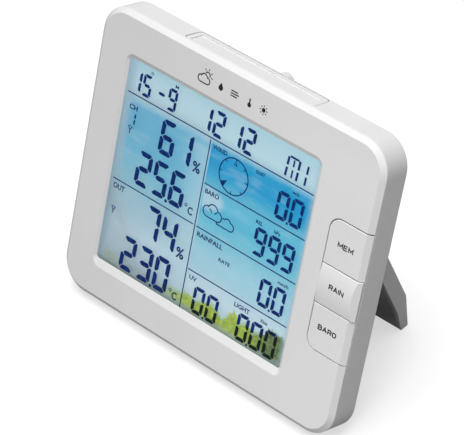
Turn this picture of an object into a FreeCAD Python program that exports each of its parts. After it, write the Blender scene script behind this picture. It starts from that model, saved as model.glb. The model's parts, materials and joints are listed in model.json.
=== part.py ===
import FreeCAD, Part
import math
import os
import re

import Sketcher
from FreeCAD import Placement, Rotation, Vector

# Desk-top weather station display console that leans back on a fold-out stand.
#
# Every piece is drawn in the console's own upright frame, in millimetres: x across to the right,
# y from the flat front face (y = 0) to the back, z up from the lower edge of the case.
# The finished pieces are then leaned back together, so that the console's lower back edge and the
# foot of the stand rest on z = 0, and centred on the origin.

SIZES = {
    # outer case: a front shell with a bevelled edge and a rear shell; a lip of the front shell
    # goes into the rear one behind the parting plane
    "case_width": 130.0,
    "case_height": 110.6,
    "case_depth": 12.0,
    "corner_radius": 11.0,
    "edge_width": 1.9,
    "edge_depth": 1.5,
    "wall": 1.8,
    "front_wall": 1.9,
    "parting": 2.0,
    "parting_chamfer": 0.2,
    "lip_inset": 0.9,
    "lip_back": 3.6,
    "lip_clearance": 0.05,
    "rear_edge_round": 0.6,
    "lean": 22.0,
    "rest_lift": 3.585,
    # raised middle of the back
    "bulge_width": 102.0,
    "bulge_low": 9.5,
    "bulge_high": 100.5,
    "bulge_depth": 27.5,
    "bulge_corner": 9.0,
    "bulge_round": 3.0,
    # window in the front, bevelled down to the glass
    "window_left": -51.2,
    "window_right": 39.9,
    "window_low": 13.0,
    "window_high": 96.2,
    "window_corner": 3.4,
    "opening_left": -50.2,
    "opening_right": 38.7,
    "opening_low": 15.85,
    "opening_high": 94.55,
    "opening_corner": 1.2,
    "bevel_depth": 0.8,
    # display: two glass plates, colour film, light guide and reflector in a frame
    "glass_front": 1.1,
    "glass_thickness": 0.9,
    "glass_margin": 1.8,
    "glass_ledge": 3.0,
    "glass_clearance": 0.2,
    "film_front": 2.95,
    "film_thickness": 0.15,
    "guide_front": 3.2,
    "guide_thickness": 2.5,
    "guide_right": 38.6,
    "reflector_thickness": 0.2,
    "frame_front": 1.95,
    "frame_clearance": 0.4,
    "frame_wall": 1.5,
    "frame_floor": 1.0,
    "frame_back": 7.0,
    "led_count": 6.0,
    "led_size": 1.2,
    "led_length": 3.5,
    "led_inset": 0.4,
    "led_board_thickness": 0.8,
    # row of three keys that wraps round the right-hand edge
    "key_left": 47.8,
    "key_low": 30.6,
    "key_split_low": 47.3,
    "key_split_high": 62.2,
    "key_high": 79.5,
    "key_gap": 0.3,
    "key_top_gap": 0.55,
    "key_corner": 4.5,
    "key_crown": 0.75,
    "key_thickness": 2.0,
    "key_flange": 0.7,
    "key_flange_reach": 1.0,
    "key_side_back": 1.6,
    "key_side_inset": 2.3,
    "key_edge": 0.3,
    "key_post_radius": 1.6,
    "key_post_x": 57.0,
    "key_post_end": 3.95,
    # long bar in the top
    "bar_half": 29.5,
    "bar_front": 2.15,
    "bar_back": 10.9,
    "bar_corner": 1.7,
    "bar_edge": 0.25,
    "bar_front_gap": 0.15,
    "bar_thickness": 2.1,
    "bar_flange_low": 107.5,
    "bar_flange_high": 108.7,
    "bar_flange_half": 31.5,
    "bar_flange_front": 2.2,
    "bar_flange_back": 9.9,
    "bar_well": 107.2,
    "bar_dish_half": 27.4,
    "bar_dish_front": 3.1,
    "bar_dish_back": 9.3,
    "bar_dish_depth": 0.4,
    "bar_stem_half": 2.5,
    "bar_stem_front": 5.5,
    "bar_stem_low": 105.15,
    # stand: a channel that swings on two stub pins
    "stand_half": 46.3,
    "stand_angle": 39.2,
    "stand_wall": 1.8,
    "hinge_y": 24.5,
    "hinge_z": 65.9,
    "stand_bend": 44.5,
    "stand_bend_inset": 0.3,
    "stand_outer": 2.8,
    "stand_inner": -3.6,
    "stand_inner_bend": 47.7,
    "foot_inner": -5.3,
    "foot_outer": -1.6,
    "foot_lip": 1.2,
    "stand_edge": 0.7,
    "pin_radius": 1.6,
    "pin_length": 2.6,
    "pin_clearance": 0.05,
    "recess_clearance": 0.5,
    "recess_floor": 18.4,
    "recess_high": 69.2,
    # main board, its screws and the case screws
    "board_front": 8.0,
    "board_thickness": 1.6,
    "board_left": -60.5,
    "board_right": 61.0,
    "board_low": 17.0,
    "board_high": 92.0,
    "board_foot_left": -52.0,
    "board_foot_right": 44.0,
    "board_foot_low": 8.5,
    "board_tab_half": 20.0,
    "board_tab_high": 104.5,
    "post_radius": 2.2,
    "post_bore": 0.85,
    "board_hole": 1.0,
    "post_bore_front": 3.0,
    "post_left": -57.3,
    "post_right": 46.6,
    "post_left_low": 30.0,
    "post_left_high": 80.0,
    "post_right_low": 22.0,
    "post_right_high": 88.0,
    "boss_x": 57.0,
    "boss_low": 8.0,
    "boss_high": 102.6,
    "boss_radius": 3.0,
    "boss_bore": 1.05,
    "boss_bore_front": 2.6,
    "boss_back": 7.0,
    "tube_radius": 3.4,
    "tube_bore": 1.3,
    "counterbore": 2.6,
    "counterbore_floor": 8.5,
    # round battery cap, coin cell and its well in the back
    "cell_x": 33.0,
    "cell_z": 84.8,
    "cell_radius": 10.0,
    "cell_thickness": 3.2,
    "cell_lid_radius": 8.6,
    "cell_lid_thickness": 0.64,
    "cell_front": 22.2,
    "well_radius": 10.8,
    "well_floor": 21.5,
    "well_wall": 14.7,
    "cap_radius": 13.0,
    "cap_clearance": 0.2,
    "cap_thickness": 1.8,
    "cap_ledge": 25.6,
    "cap_edge": 0.3,
    "cap_slot_width": 1.8,
    "cap_slot_length": 14.0,
    "cap_slot_depth": 0.9,
    # keys, slide switch, vents and socket in the back
    "rear_key_width": 8.0,
    "rear_key_height": 4.6,
    "rear_key_corner": 2.2,
    "rear_key_z": 92.0,
    "rear_key_gap": 0.25,
    "rear_key_proud": 0.6,
    "rear_key_flange": 0.9,
    "rear_key_post_radius": 1.5,
    "rear_key_post_front": 13.85,
    "slot_x": -30.0,
    "slot_z": 77.5,
    "slot_length": 8.4,
    "slot_height": 3.6,
    "knob_length": 3.6,
    "knob_height": 3.0,
    "knob_proud": 0.5,
    "knob_front": 14.2,
    "groove_pitch": 1.0,
    "groove_width": 0.4,
    "groove_depth": 0.25,
    "groove_corner": 0.05,
    "vent_x": -12.0,
    "vent_pitch": 3.2,
    "vent_width": 1.4,
    "vent_low": 73.0,
    "vent_high": 83.0,
    "jack_y": 15.6,
    "jack_z": 83.0,
    "jack_radius": 2.8,
    "jack_hole": 3.5,
    "jack_depth": 9.0,
    "jack_half": 4.2,
    "jack_length": 11.0,
    "jack_pin_radius": 0.65,
    "jack_pin_start": 0.8,
    "lug_z": 102.0,
    "lug_radius": 3.2,
    "lug_hole": 1.7,
    "lug_front": 20.5,
    "lug_back": 24.5,
    # push switches on the board
    "switch_half": 3.0,
    "switch_height": 3.1,
    "plunger_radius": 1.5,
    "plunger_height": 0.6,
    "top_switch_gap": 0.85,
    "top_switch_depth": 4.2,
    "top_switch_height": 4.0,
    # radius of a slot's round ends, as a share of its width
    "round_end": 0.49,
}

REAR_KEYS = {"clock_key": -39.0, "alarm_key": -27.5, "up_key": -16.0, "down_key": -4.5}
VENT_STEPS = (-2, -1, 0, 1, 2)
FRONT_KEY_SPANS = {
    "memory_key": ("key_split_high", "key_high"),
    "rain_key": ("key_split_low", "key_split_high"),
    "baro_key": ("key_low", "key_split_low"),
}

# Small box-shaped pieces inside: left, right, front, back, low, high.
INNER_BOXES = {
    "contact_strip": (-50.0, 38.5, 2.95, 8.0, 11.2, 13.4),
    "radio_board": (10.0, 30.0, 10.4, 11.2, 46.0, 64.0),
    "radio_shield": (12.5, 24.0, 11.2, 13.4, 49.0, 61.0),
    "climate_sensor": (-13.2, -10.7, 9.6, 10.6, 77.0, 79.5),
    "pressure_sensor": (-18.6, -15.1, 9.6, 10.8, 76.5, 79.5),
    "slide_switch_body": (-35.0, -25.0, 9.6, 13.4, 75.0, 80.0),
    "cell_contact_front": (26.0, 40.0, 21.55, 22.1, 82.3, 87.3),
    "cell_contact_side": (43.05, 43.6, 22.3, 25.2, 83.3, 86.3),
}
CHIPS = (
    (-14.0, -4.0, 9.6, 11.0, 28.0, 38.0),
    (2.0, 8.0, 9.6, 10.8, 30.0, 35.0),
    (36.0, 42.0, 9.6, 11.2, 70.0, 74.0),
)
CAPACITORS = ((-40.0, 58.0), (-40.0, 51.0), (-40.0, 44.0))
CAPACITOR_RADIUS = 2.5
CAPACITOR_HEIGHT = 6.6
BUZZER_PLACE = (-24.0, 58.0)
BUZZER_RADIUS = 6.2
BUZZER_HOLE = 1.0
BUZZER_HEIGHT = 5.0
CRYSTAL_PLACE = (-20.0, 33.0)
CRYSTAL_RADIUS = 1.0
CRYSTAL_LENGTH = 6.0
ANTENNA_PLACE = (28.0, 10.8)
ANTENNA_RADIUS = 0.35
ANTENNA_LENGTH = 31.0
CASE_SCREW = {"head_radius": 2.3, "head_height": 1.5, "shank_radius": 1.0, "length": 5.6}
BOARD_SCREW = {"head_radius": 1.9, "head_height": 0.5, "shank_radius": 0.8, "length": 6.0}

# Two lengths that differ by less than SLACK are taken as equal when edges are chosen;
# edges no longer than SHORT_EDGE are passed over where only the long ones are wanted.
SLACK = 0.01
SHORT_EDGE = 1.0

document = FreeCAD.newDocument("weather_console")


def write_sheet():
    """Spreadsheet with one row for each size: its name, and its value under that alias."""
    table = document.addObject("Spreadsheet::Sheet", "dims")
    for row, (alias, number) in enumerate(SIZES.items(), start=1):
        table.set("A%d" % row, alias)
        table.set("B%d" % row, str(number))
        table.setAlias("B%d" % row, alias)
    document.recompute()
    return table


sheet = write_sheet()


def formula(text):
    """The text with each size's name turned into a reference to its cell."""
    def reference(word):
        name = word.group()
        return "dims." + name if name in SIZES else name

    return re.sub(r"[a-z_]+", reference, str(text))


def value(text):
    """The number that a formula over the sheet gives."""
    return float(sheet.evalExpression(formula(text)))


def middle(span):
    return "((%s) + (%s)) / 2" % span


def length_of(span):
    return "(%s) - (%s)" % (span[1], span[0])


def grown(span, amount):
    """The span, longer by the amount at both ends."""
    return "(%s) - (%s)" % (span[0], amount), "(%s) + (%s)" % (span[1], amount)


# ---- sketches ----------------------------------------------------------------------------------


def new_sketch(body, name, role, offset):
    """Sketch on one of the body's own origin planes, moved by three formulas in the plane's axes."""
    sketch = body.newObject("Sketcher::SketchObject", name)
    plane = [feature for feature in body.Origin.OriginFeatures if feature.Role == role][0]
    sketch.AttachmentSupport = (plane, [""])
    sketch.MapMode = "FlatFace"
    for axis, text in zip("xyz", offset):
        sketch.setExpression("AttachmentOffset.Base." + axis, formula(text))
    return sketch


def front_sketch(body, name, x, y, z):
    """Sketch that faces the front: its axes are x and z, and it lies at the depth y."""
    return new_sketch(body, name, "XZ_Plane", (x, z, "-(%s)" % y))


def side_sketch(body, name, x):
    """Sketch that faces the right side: its axes are y and z."""
    return new_sketch(body, name, "YZ_Plane", ("0", "0", x))


def top_sketch(body, name, x, y, z):
    """Sketch that faces up: its axes are x and y, and it lies at the height z."""
    return new_sketch(body, name, "XY_Plane", (x, y, z))


def bind(sketch, constraint, name, text):
    index = sketch.addConstraint(constraint)
    sketch.renameConstraint(index, name)
    sketch.setExpression("Constraints." + name, formula(text))


def pin_point(sketch, geometry, point, name, across, up):
    """Hold one point of the sketch at two formulas from its origin."""
    bind(sketch, Sketcher.Constraint("DistanceX", -1, 1, geometry, point, value(across)), name + "_across", across)
    bind(sketch, Sketcher.Constraint("DistanceY", -1, 1, geometry, point, value(up)), name + "_up", up)


def rounded_rectangle(sketch, width, height, radius):
    """Rectangle centred on the sketch's origin, with one radius at its four corners."""
    half_width = value(width) / 2
    half_height = value(height) / 2
    round_off = value(radius)
    inner_width = half_width - round_off
    inner_height = half_height - round_off
    lines = [
        (Vector(-inner_width, -half_height), Vector(inner_width, -half_height)),
        (Vector(half_width, -inner_height), Vector(half_width, inner_height)),
        (Vector(inner_width, half_height), Vector(-inner_width, half_height)),
        (Vector(-half_width, inner_height), Vector(-half_width, -inner_height)),
    ]
    for start, end in lines:
        sketch.addGeometry(Part.LineSegment(start, end), False)
    centres = [(1, -1), (1, 1), (-1, 1), (-1, -1)]
    for turn, (across, up) in enumerate(centres):
        centre = Vector(across * inner_width, up * inner_height)
        circle = Part.Circle(centre, Vector(0, 0, 1), round_off)
        first = (turn - 1) * math.pi / 2
        sketch.addGeometry(Part.ArcOfCircle(circle, first, first + math.pi / 2), False)
    for side in range(4):
        sketch.addConstraint(Sketcher.Constraint("Tangent", side, 2, 4 + side, 1))
        sketch.addConstraint(Sketcher.Constraint("Tangent", 4 + side, 2, (side + 1) % 4, 1))
        sketch.addConstraint(Sketcher.Constraint("Vertical" if side % 2 else "Horizontal", side))
    for corner in (5, 6, 7):
        sketch.addConstraint(Sketcher.Constraint("Equal", 4, corner))
    sketch.addConstraint(Sketcher.Constraint("Symmetric", 4, 3, 6, 3, -1, 1))
    bind(sketch, Sketcher.Constraint("DistanceX", 3, 1, 1, 1, 2 * half_width), "width", width)
    bind(sketch, Sketcher.Constraint("DistanceY", 0, 1, 2, 1, 2 * half_height), "height", height)
    bind(sketch, Sketcher.Constraint("Radius", 4, round_off), "radius", radius)


def polygon(sketch, points):
    """Closed outline through points that are given by formulas."""
    spots = [Vector(value(across), value(up)) for across, up in points]
    count = len(spots)
    for index in range(count):
        sketch.addGeometry(Part.LineSegment(spots[index], spots[(index + 1) % count]), False)
    for index in range(count):
        sketch.addConstraint(Sketcher.Constraint("Coincident", index, 2, (index + 1) % count, 1))
    for index, (across, up) in enumerate(points):
        pin_point(sketch, index, 1, "point%d" % index, across, up)


def circles(sketch, places, radius):
    """Circles of one radius at places that are given by formulas."""
    for index, (across, up) in enumerate(places):
        centre = Vector(value(across), value(up))
        sketch.addGeometry(Part.Circle(centre, Vector(0, 0, 1), value(radius)), False)
        pin_point(sketch, index, 3, "centre%d" % index, across, up)
        bind(sketch, Sketcher.Constraint("Radius", index, value(radius)), "radius%d" % index, radius)


# ---- features ----------------------------------------------------------------------------------


def new_body(label):
    body = document.addObject("PartDesign::Body", label)
    body.Label = label
    return body


def solid_feature(body, kind, name, sketch, length, backwards=False, both_ways=False):
    feature = body.newObject("PartDesign::" + kind, name)
    feature.Profile = sketch
    feature.Reversed = backwards
    feature.Midplane = both_ways
    feature.setExpression("Length", formula(length))
    return feature


def add_plate(body, name, across, deep, up, radius):
    """Rounded plate that fills the three spans, with its face to the front."""
    sketch = front_sketch(body, name + "_outline", middle(across), deep[0], middle(up))
    rounded_rectangle(sketch, length_of(across), length_of(up), radius)
    return solid_feature(body, "Pad", name, sketch, length_of(deep), backwards=True)


def cut_plate(body, name, across, deep, up, radius):
    sketch = front_sketch(body, name + "_outline", middle(across), deep[0], middle(up))
    rounded_rectangle(sketch, length_of(across), length_of(up), radius)
    return solid_feature(body, "Pocket", name, sketch, length_of(deep))


def add_slab(body, name, across, deep, up, radius):
    """Slab that fills the three spans, with rounded corners when it is seen from above."""
    sketch = top_sketch(body, name + "_outline", middle(across), middle(deep), up[0])
    rounded_rectangle(sketch, length_of(across), length_of(deep), radius)
    return solid_feature(body, "Pad", name, sketch, length_of(up))


def cut_slab(body, name, across, deep, up, radius):
    sketch = top_sketch(body, name + "_outline", middle(across), middle(deep), up[1])
    rounded_rectangle(sketch, length_of(across), length_of(deep), radius)
    return solid_feature(body, "Pocket", name, sketch, length_of(up))


def add_rods(body, name, places, radius, deep):
    """Round rods from front to back, at places given as (x, z)."""
    sketch = front_sketch(body, name + "_outline", "0", deep[0], "0")
    circles(sketch, places, radius)
    return solid_feature(body, "Pad", name, sketch, length_of(deep), backwards=True)


def cut_rods(body, name, places, radius, deep):
    sketch = front_sketch(body, name + "_outline", "0", deep[0], "0")
    circles(sketch, places, radius)
    return solid_feature(body, "Pocket", name, sketch, length_of(deep))


def round_edges(body, name, radius, wanted, kind="Fillet"):
    """Fillet or chamfer those edges of the body's tip whose (centre, direction) the test accepts."""
    document.recompute()
    base = body.Tip
    chosen = []
    for index, edge in enumerate(base.Shape.Edges, start=1):
        if wanted(edge.CenterOfMass, edge):
            chosen.append("Edge%d" % index)
    feature = body.newObject("PartDesign::" + kind, name)
    feature.Base = (base, chosen)
    feature.setExpression("Size" if kind == "Chamfer" else "Radius", formula(radius))
    return feature


def near(first, second):
    return abs(first - second) < SLACK


def flat_edge(edge, axis):
    """True for an edge that stays in one plane across the axis (0 = x, 1 = y, 2 = z)."""
    box = edge.BoundBox
    return (box.XLength, box.YLength, box.ZLength)[axis] < SLACK


# ---- primitives --------------------------------------------------------------------------------


def box(name, left, right, front, back, low, high):
    block = document.addObject("Part::Box", name)
    block.setExpression("Length", formula("(%s) - (%s)" % (right, left)))
    block.setExpression("Width", formula("(%s) - (%s)" % (back, front)))
    block.setExpression("Height", formula("(%s) - (%s)" % (high, low)))
    for axis, text in zip("xyz", (left, front, low)):
        block.setExpression("Placement.Base." + axis, formula(text))
    return block


def rod(name, x, front, z, radius, length, axis="y"):
    """Cylinder from a start point along +x, +y or +z."""
    turns = {"x": Rotation(Vector(0, 1, 0), 90), "y": Rotation(Vector(1, 0, 0), -90), "z": Rotation()}
    cylinder = document.addObject("Part::Cylinder", name)
    cylinder.Placement = Placement(Vector(), turns[axis])
    cylinder.setExpression("Radius", formula(radius))
    cylinder.setExpression("Height", formula(length))
    for letter, text in zip("xyz", (x, front, z)):
        cylinder.setExpression("Placement.Base." + letter, formula(text))
    return cylinder


def fuse(name, members):
    union = document.addObject("Part::MultiFuse", name)
    union.Shapes = members
    return union


def cut(name, base, tool):
    difference = document.addObject("Part::Cut", name)
    difference.Base = base
    difference.Tool = tool
    return difference


def group(label, members):
    """One sub-part made of one or more separate solids."""
    bundle = document.addObject("Part::Compound", label)
    bundle.Links = members
    bundle.Label = label
    return bundle


# ---- places used by more than one piece ----------------------------------------------------------

CASE_ACROSS = ("-case_width / 2", "case_width / 2")
CASE_UP = ("0", "case_height")
BOSS_PLACES = [(side + "boss_x", height) for side in ("-", "") for height in ("boss_low", "boss_high")]
POST_PLACES = [
    ("post_left", "post_left_low"),
    ("post_left", "post_left_high"),
    ("post_right", "post_right_low"),
    ("post_right", "post_right_high"),
]
GLASS_ACROSS = grown(("opening_left", "opening_right"), "glass_margin")
GLASS_UP = grown(("opening_low", "opening_high"), "glass_margin")
REAR_GLASS_UP = ("opening_low - glass_margin - glass_ledge", GLASS_UP[1])
FRAME_INNER_ACROSS = grown(GLASS_ACROSS, "frame_clearance")
FRAME_INNER_UP = grown(REAR_GLASS_UP, "frame_clearance")
BOARD_BACK = "board_front + board_thickness"
RECESS_HALF = "stand_half + recess_clearance"
BAR_ACROSS = ("-bar_half", "bar_half")
BAR_OPENING_DEEP = ("bar_front - bar_front_gap", "bar_back + key_gap")
BAR_OPENING_UP = ("bar_well", "case_height")


# ---- shells --------------------------------------------------------------------------------------


def make_front_bezel():
    """Front shell: flat face, bevelled window, opening for the keys, bosses for the screws."""
    body = new_body("front_bezel")
    add_bevelled_face(body)
    add_plate(
        body, "bezel_lip", grown(CASE_ACROSS, "-lip_inset"), ("parting", "lip_back"),
        grown(CASE_UP, "-lip_inset"), "corner_radius - lip_inset",
    )
    cut_plate(
        body, "bezel_hollow", grown(CASE_ACROSS, "-wall"), ("front_wall", "lip_back"),
        grown(CASE_UP, "-wall"), "corner_radius - wall",
    )
    cut_plate(
        body, "glass_seat", grown(GLASS_ACROSS, "glass_clearance"), ("glass_front", "front_wall"),
        grown(REAR_GLASS_UP, "glass_clearance"), "key_edge",
    )
    cut_plate(
        body, "window_opening", ("opening_left", "opening_right"), ("0", "glass_front"),
        ("opening_low", "opening_high"), "opening_corner",
    )
    window_bevel(body)
    cut_plate(
        body, "key_opening", ("key_left - key_gap", "case_width / 2 + 2 * key_corner"), ("0", "lip_back"),
        ("key_low - key_gap", "key_high + key_top_gap"), "key_corner + key_gap",
    )
    cut_bar_opening(body)
    add_rods(body, "screw_bosses", BOSS_PLACES, "boss_radius", ("front_wall", "boss_back"))
    cut_rods(body, "screw_bores", BOSS_PLACES, "boss_bore", ("boss_bore_front", "boss_back"))
    add_rods(body, "board_posts", POST_PLACES, "post_radius", ("front_wall", "board_front"))
    cut_rods(body, "post_bores", POST_PLACES, "post_bore", ("post_bore_front", "board_front"))
    return body


def cut_bar_opening(body):
    """Opening in the top for the long bar; each shell has its own part of it."""
    cut_slab(
        body, "bar_opening", grown(BAR_ACROSS, "key_gap"), BAR_OPENING_DEEP, BAR_OPENING_UP,
        "bar_corner + bar_front_gap",
    )


def plate_outline(body, name, across, y, up, radius):
    sketch = front_sketch(body, name, middle(across), y, middle(up))
    rounded_rectangle(sketch, length_of(across), length_of(up), radius)
    return sketch


def add_bevelled_face(body):
    """Front face with a flat bevel along its whole edge, down to the parting plane."""
    loft = body.newObject("PartDesign::AdditiveLoft", "face_bevel")
    loft.Profile = plate_outline(
        body, "face_outline", grown(CASE_ACROSS, "-edge_width"), "0", grown(CASE_UP, "-edge_width"),
        "corner_radius - edge_width",
    )
    loft.Sections = [plate_outline(body, "edge_outline", CASE_ACROSS, "edge_depth", CASE_UP, "corner_radius")]
    loft.Ruled = True
    add_plate(body, "bezel_side", CASE_ACROSS, ("edge_depth", "parting"), CASE_UP, "corner_radius")


def window_bevel(body):
    """Sloping border between the front face and the glass."""
    loft = body.newObject("PartDesign::SubtractiveLoft", "bevel")
    loft.Profile = plate_outline(
        body, "bevel_outer", ("window_left", "window_right"), "0", ("window_low", "window_high"), "window_corner",
    )
    loft.Sections = [plate_outline(
        body, "bevel_inner", ("opening_left", "opening_right"), "bevel_depth", ("opening_low", "opening_high"),
        "opening_corner",
    )]
    loft.Ruled = True


def make_rear_housing():
    """Rear shell: shallow tray, raised middle, recess and bearings for the stand, battery well."""
    body = new_body("rear_housing")
    add_plate(body, "tray", CASE_ACROSS, ("parting", "case_depth"), CASE_UP, "corner_radius")
    round_edges(
        body, "tray_front_edge", "parting_chamfer",
        lambda centre, edge: near(centre.y, value("parting")), kind="Chamfer",
    )
    round_edges(body, "tray_rear_edge", "rear_edge_round", lambda centre, edge: near(centre.y, value("case_depth")))
    add_plate(
        body, "bulge", ("-bulge_width / 2", "bulge_width / 2"), ("case_depth - wall", "bulge_depth"),
        ("bulge_low", "bulge_high"), "bulge_corner",
    )
    round_edges(body, "bulge_rear_edge", "bulge_round", lambda centre, edge: near(centre.y, value("bulge_depth")))
    add_lug(body)
    hollow_housing(body)
    cut_plate(
        body, "stand_recess", ("-(%s)" % RECESS_HALF, RECESS_HALF), ("recess_floor", "bulge_depth + wall"),
        ("bulge_low - 2 * wall", "recess_high"), "key_edge",
    )
    bearing = side_sketch(body, "bearing_outline", "0")
    circles(bearing, [("hinge_y", "hinge_z")], "pin_radius + pin_clearance")
    bearing_span = "2 * (%s + pin_length)" % RECESS_HALF
    solid_feature(body, "Pocket", "stand_bearings", bearing, bearing_span, both_ways=True)
    add_rods(body, "screw_tubes", BOSS_PLACES, "tube_radius", ("boss_back", "case_depth - wall"))
    cut_rods(body, "counterbores", BOSS_PLACES, "counterbore", ("counterbore_floor", "case_depth"))
    cut_rods(body, "tube_bores", BOSS_PLACES, "tube_bore", ("boss_back", "counterbore_floor"))
    add_battery_well(body)
    cut_rear_openings(body)
    cut_bar_opening(body)
    rest = side_sketch(body, "rest_outline", "0")
    rest_rise = "(case_depth * sin(lean) - rest_lift) / cos(lean)"
    polygon(
        rest,
        [("rest_lift / sin(lean)", "0"), ("case_depth", rest_rise), ("case_depth + wall", rest_rise),
         ("case_depth + wall", "-wall"), ("rest_lift / sin(lean)", "-wall")],
    )
    solid_feature(body, "Pocket", "rest_land", rest, "2 * case_width", both_ways=True)
    return body


def add_lug(body):
    """Rounded lug with a hole, on top of the bulge, to hang the console on a wall."""
    add_plate(
        body, "lug_web", ("-lug_radius", "lug_radius"), ("lug_front", "lug_back"),
        ("bulge_high - wall", "lug_z"), "key_edge",
    )
    add_rods(body, "lug_head", [("0", "lug_z")], "lug_radius", ("lug_front", "lug_back"))
    cut_rods(body, "lug_bore", [("0", "lug_z")], "lug_hole", ("lug_front", "lug_back"))


def hollow_housing(body):
    """Cavities of the tray, behind the recess and above it, and the seat of the front shell's lip."""
    lip_seat = "lip_inset - lip_clearance"
    cut_plate(
        body, "lip_seat", grown(CASE_ACROSS, "-(%s)" % lip_seat), ("parting", "lip_back + lip_clearance"),
        grown(CASE_UP, "-(%s)" % lip_seat), "corner_radius - (%s)" % lip_seat,
    )
    cut_plate(
        body, "tray_hollow", grown(CASE_ACROSS, "-wall"), ("parting", "case_depth - wall"),
        grown(CASE_UP, "-wall"), "corner_radius - wall",
    )
    inside = ("-bulge_width / 2 + wall", "bulge_width / 2 - wall")
    cut_plate(
        body, "lower_hollow", inside, ("case_depth - wall", "recess_floor - wall"),
        ("bulge_low + wall", "bulge_high - wall"), "bulge_corner - wall",
    )
    cut_plate(
        body, "upper_hollow", inside, ("recess_floor - wall", "bulge_depth - wall"),
        ("recess_high + wall", "bulge_high - wall"), "bulge_corner - wall",
    )


def add_battery_well(body):
    """Round well for the coin cell, with a ledge for its cap."""
    place = [("cell_x", "cell_z")]
    add_rods(body, "well_tube", place, "well_wall", ("well_floor - wall", "bulge_depth - wall"))
    cut_rods(body, "well", place, "well_radius", ("well_floor", "bulge_depth"))
    cut_rods(body, "cap_seat", place, "cap_radius + cap_clearance", ("cap_ledge", "bulge_depth"))


def cut_rear_openings(body):
    """Openings for the rear keys, the slide switch, the power socket and the air."""
    through = ("bulge_depth - wall", "bulge_depth")
    for label, x in REAR_KEYS.items():
        cut_plate(
            body, label + "_opening",
            ("%s - rear_key_width / 2 - rear_key_gap" % x, "%s + rear_key_width / 2 + rear_key_gap" % x), through,
            ("rear_key_z - rear_key_height / 2 - rear_key_gap", "rear_key_z + rear_key_height / 2 + rear_key_gap"),
            "rear_key_corner + rear_key_gap",
        )
    cut_plate(
        body, "switch_slot", ("slot_x - slot_length / 2", "slot_x + slot_length / 2"), through,
        ("slot_z - slot_height / 2", "slot_z + slot_height / 2"), "key_edge",
    )
    for step in VENT_STEPS:
        centre = "vent_x + %d * vent_pitch" % step
        cut_plate(
            body, "vent%d" % (step + len(VENT_STEPS)), (centre + " - vent_width / 2", centre + " + vent_width / 2"),
            through, ("vent_low", "vent_high"), "round_end * vent_width",
        )
    socket = side_sketch(body, "socket_outline", "-bulge_width / 2 + wall")
    circles(socket, [("jack_y", "jack_z")], "jack_hole")
    solid_feature(body, "Pocket", "socket_hole", socket, "wall", backwards=True)


# ---- keys ----------------------------------------------------------------------------------------


def make_front_key(label):
    """Key cap that wraps round the right-hand edge, with a stop flange and a post for its switch."""
    low, high = FRONT_KEY_SPANS[label]
    is_bottom = label == "baro_key"
    is_top = label == "memory_key"
    low_edge = low if is_bottom else "%s + key_gap / 2" % low
    high_edge = high if is_top else "%s - key_gap / 2" % high
    body = new_body(label)
    right = "case_width / 2"
    profile = side_sketch(body, label + "_profile", "key_left")
    if label == "rain_key":
        crowned_profile(profile, low_edge, high_edge)
    else:
        polygon(
            profile,
            [("0", low_edge), ("key_thickness", low_edge), ("key_thickness", high_edge), ("0", high_edge)],
        )
    solid_feature(body, "Pad", label + "_cap", profile, right + " - key_left")
    if is_top or is_bottom:
        corner_z = value(high_edge if is_top else low_edge)
        round_edges(
            body, label + "_corner", "key_corner",
            lambda centre, edge: near(centre.x, value("key_left")) and near(centre.z, corner_z)
            and flat_edge(edge, 0) and flat_edge(edge, 2),
        )
    round_edges(body, label + "_edge", "key_edge", lambda centre, edge: on_cap_rim(centre, edge, low_edge, high_edge))
    bevel_key(body, label)
    cut_plate(
        body, label + "_undercut", (right + " - key_side_inset", right + " + wall"),
        ("key_side_back", "key_thickness + wall"), grown((low_edge, high_edge), "wall"), "key_edge",
    )
    flange_low = low_edge + (" - key_flange_reach" if is_bottom else "")
    flange_high = high_edge + (" + key_flange_reach" if is_top else "")
    add_plate(
        body, label + "_flange", ("key_left - key_flange_reach", right + " - wall - key_gap"),
        ("key_thickness", "key_thickness + key_flange"), (flange_low, flange_high), "key_edge",
    )
    add_rods(
        body, label + "_post", [("key_post_x", middle((low, high)))], "key_post_radius",
        ("key_thickness", "key_post_end"),
    )
    return body


def on_cap_rim(centre, edge, low_edge, high_edge):
    """True for the edges round the touched face, except the one along the right side."""
    box = edge.BoundBox
    on_left = near(box.XMax, value("key_left")) and box.YMax < SLACK
    level = near(box.ZLength, 0) and (near(centre.z, value(low_edge)) or near(centre.z, value(high_edge)))
    on_level = level and box.YMax < SLACK
    corner = flat_edge(edge, 1) and near(centre.y, 0) and min(box.XLength, box.ZLength) > SHORT_EDGE
    return on_left or on_level or corner


def bevel_key(body, label):
    """Continue the bevel of the front shell's edge over the key; the crowned key keeps more of its swell."""
    out = "key_crown" if label == "rain_key" else "0"
    right = "case_width / 2"
    sketch = top_sketch(body, label + "_bevel_outline", "0", "0", "case_height")
    slope = "edge_depth / edge_width"
    polygon(
        sketch,
        [(right + " - 2 * edge_width + " + out, "-edge_width * %s" % slope), (right + " + " + out, "edge_depth"),
         (right + " + wall", "edge_depth"), (right + " + wall", "-edge_width"),
         (right + " - 2 * edge_width + " + out, "-edge_width")],
    )
    solid_feature(body, "Pocket", label + "_bevel", sketch, "case_height")


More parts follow.
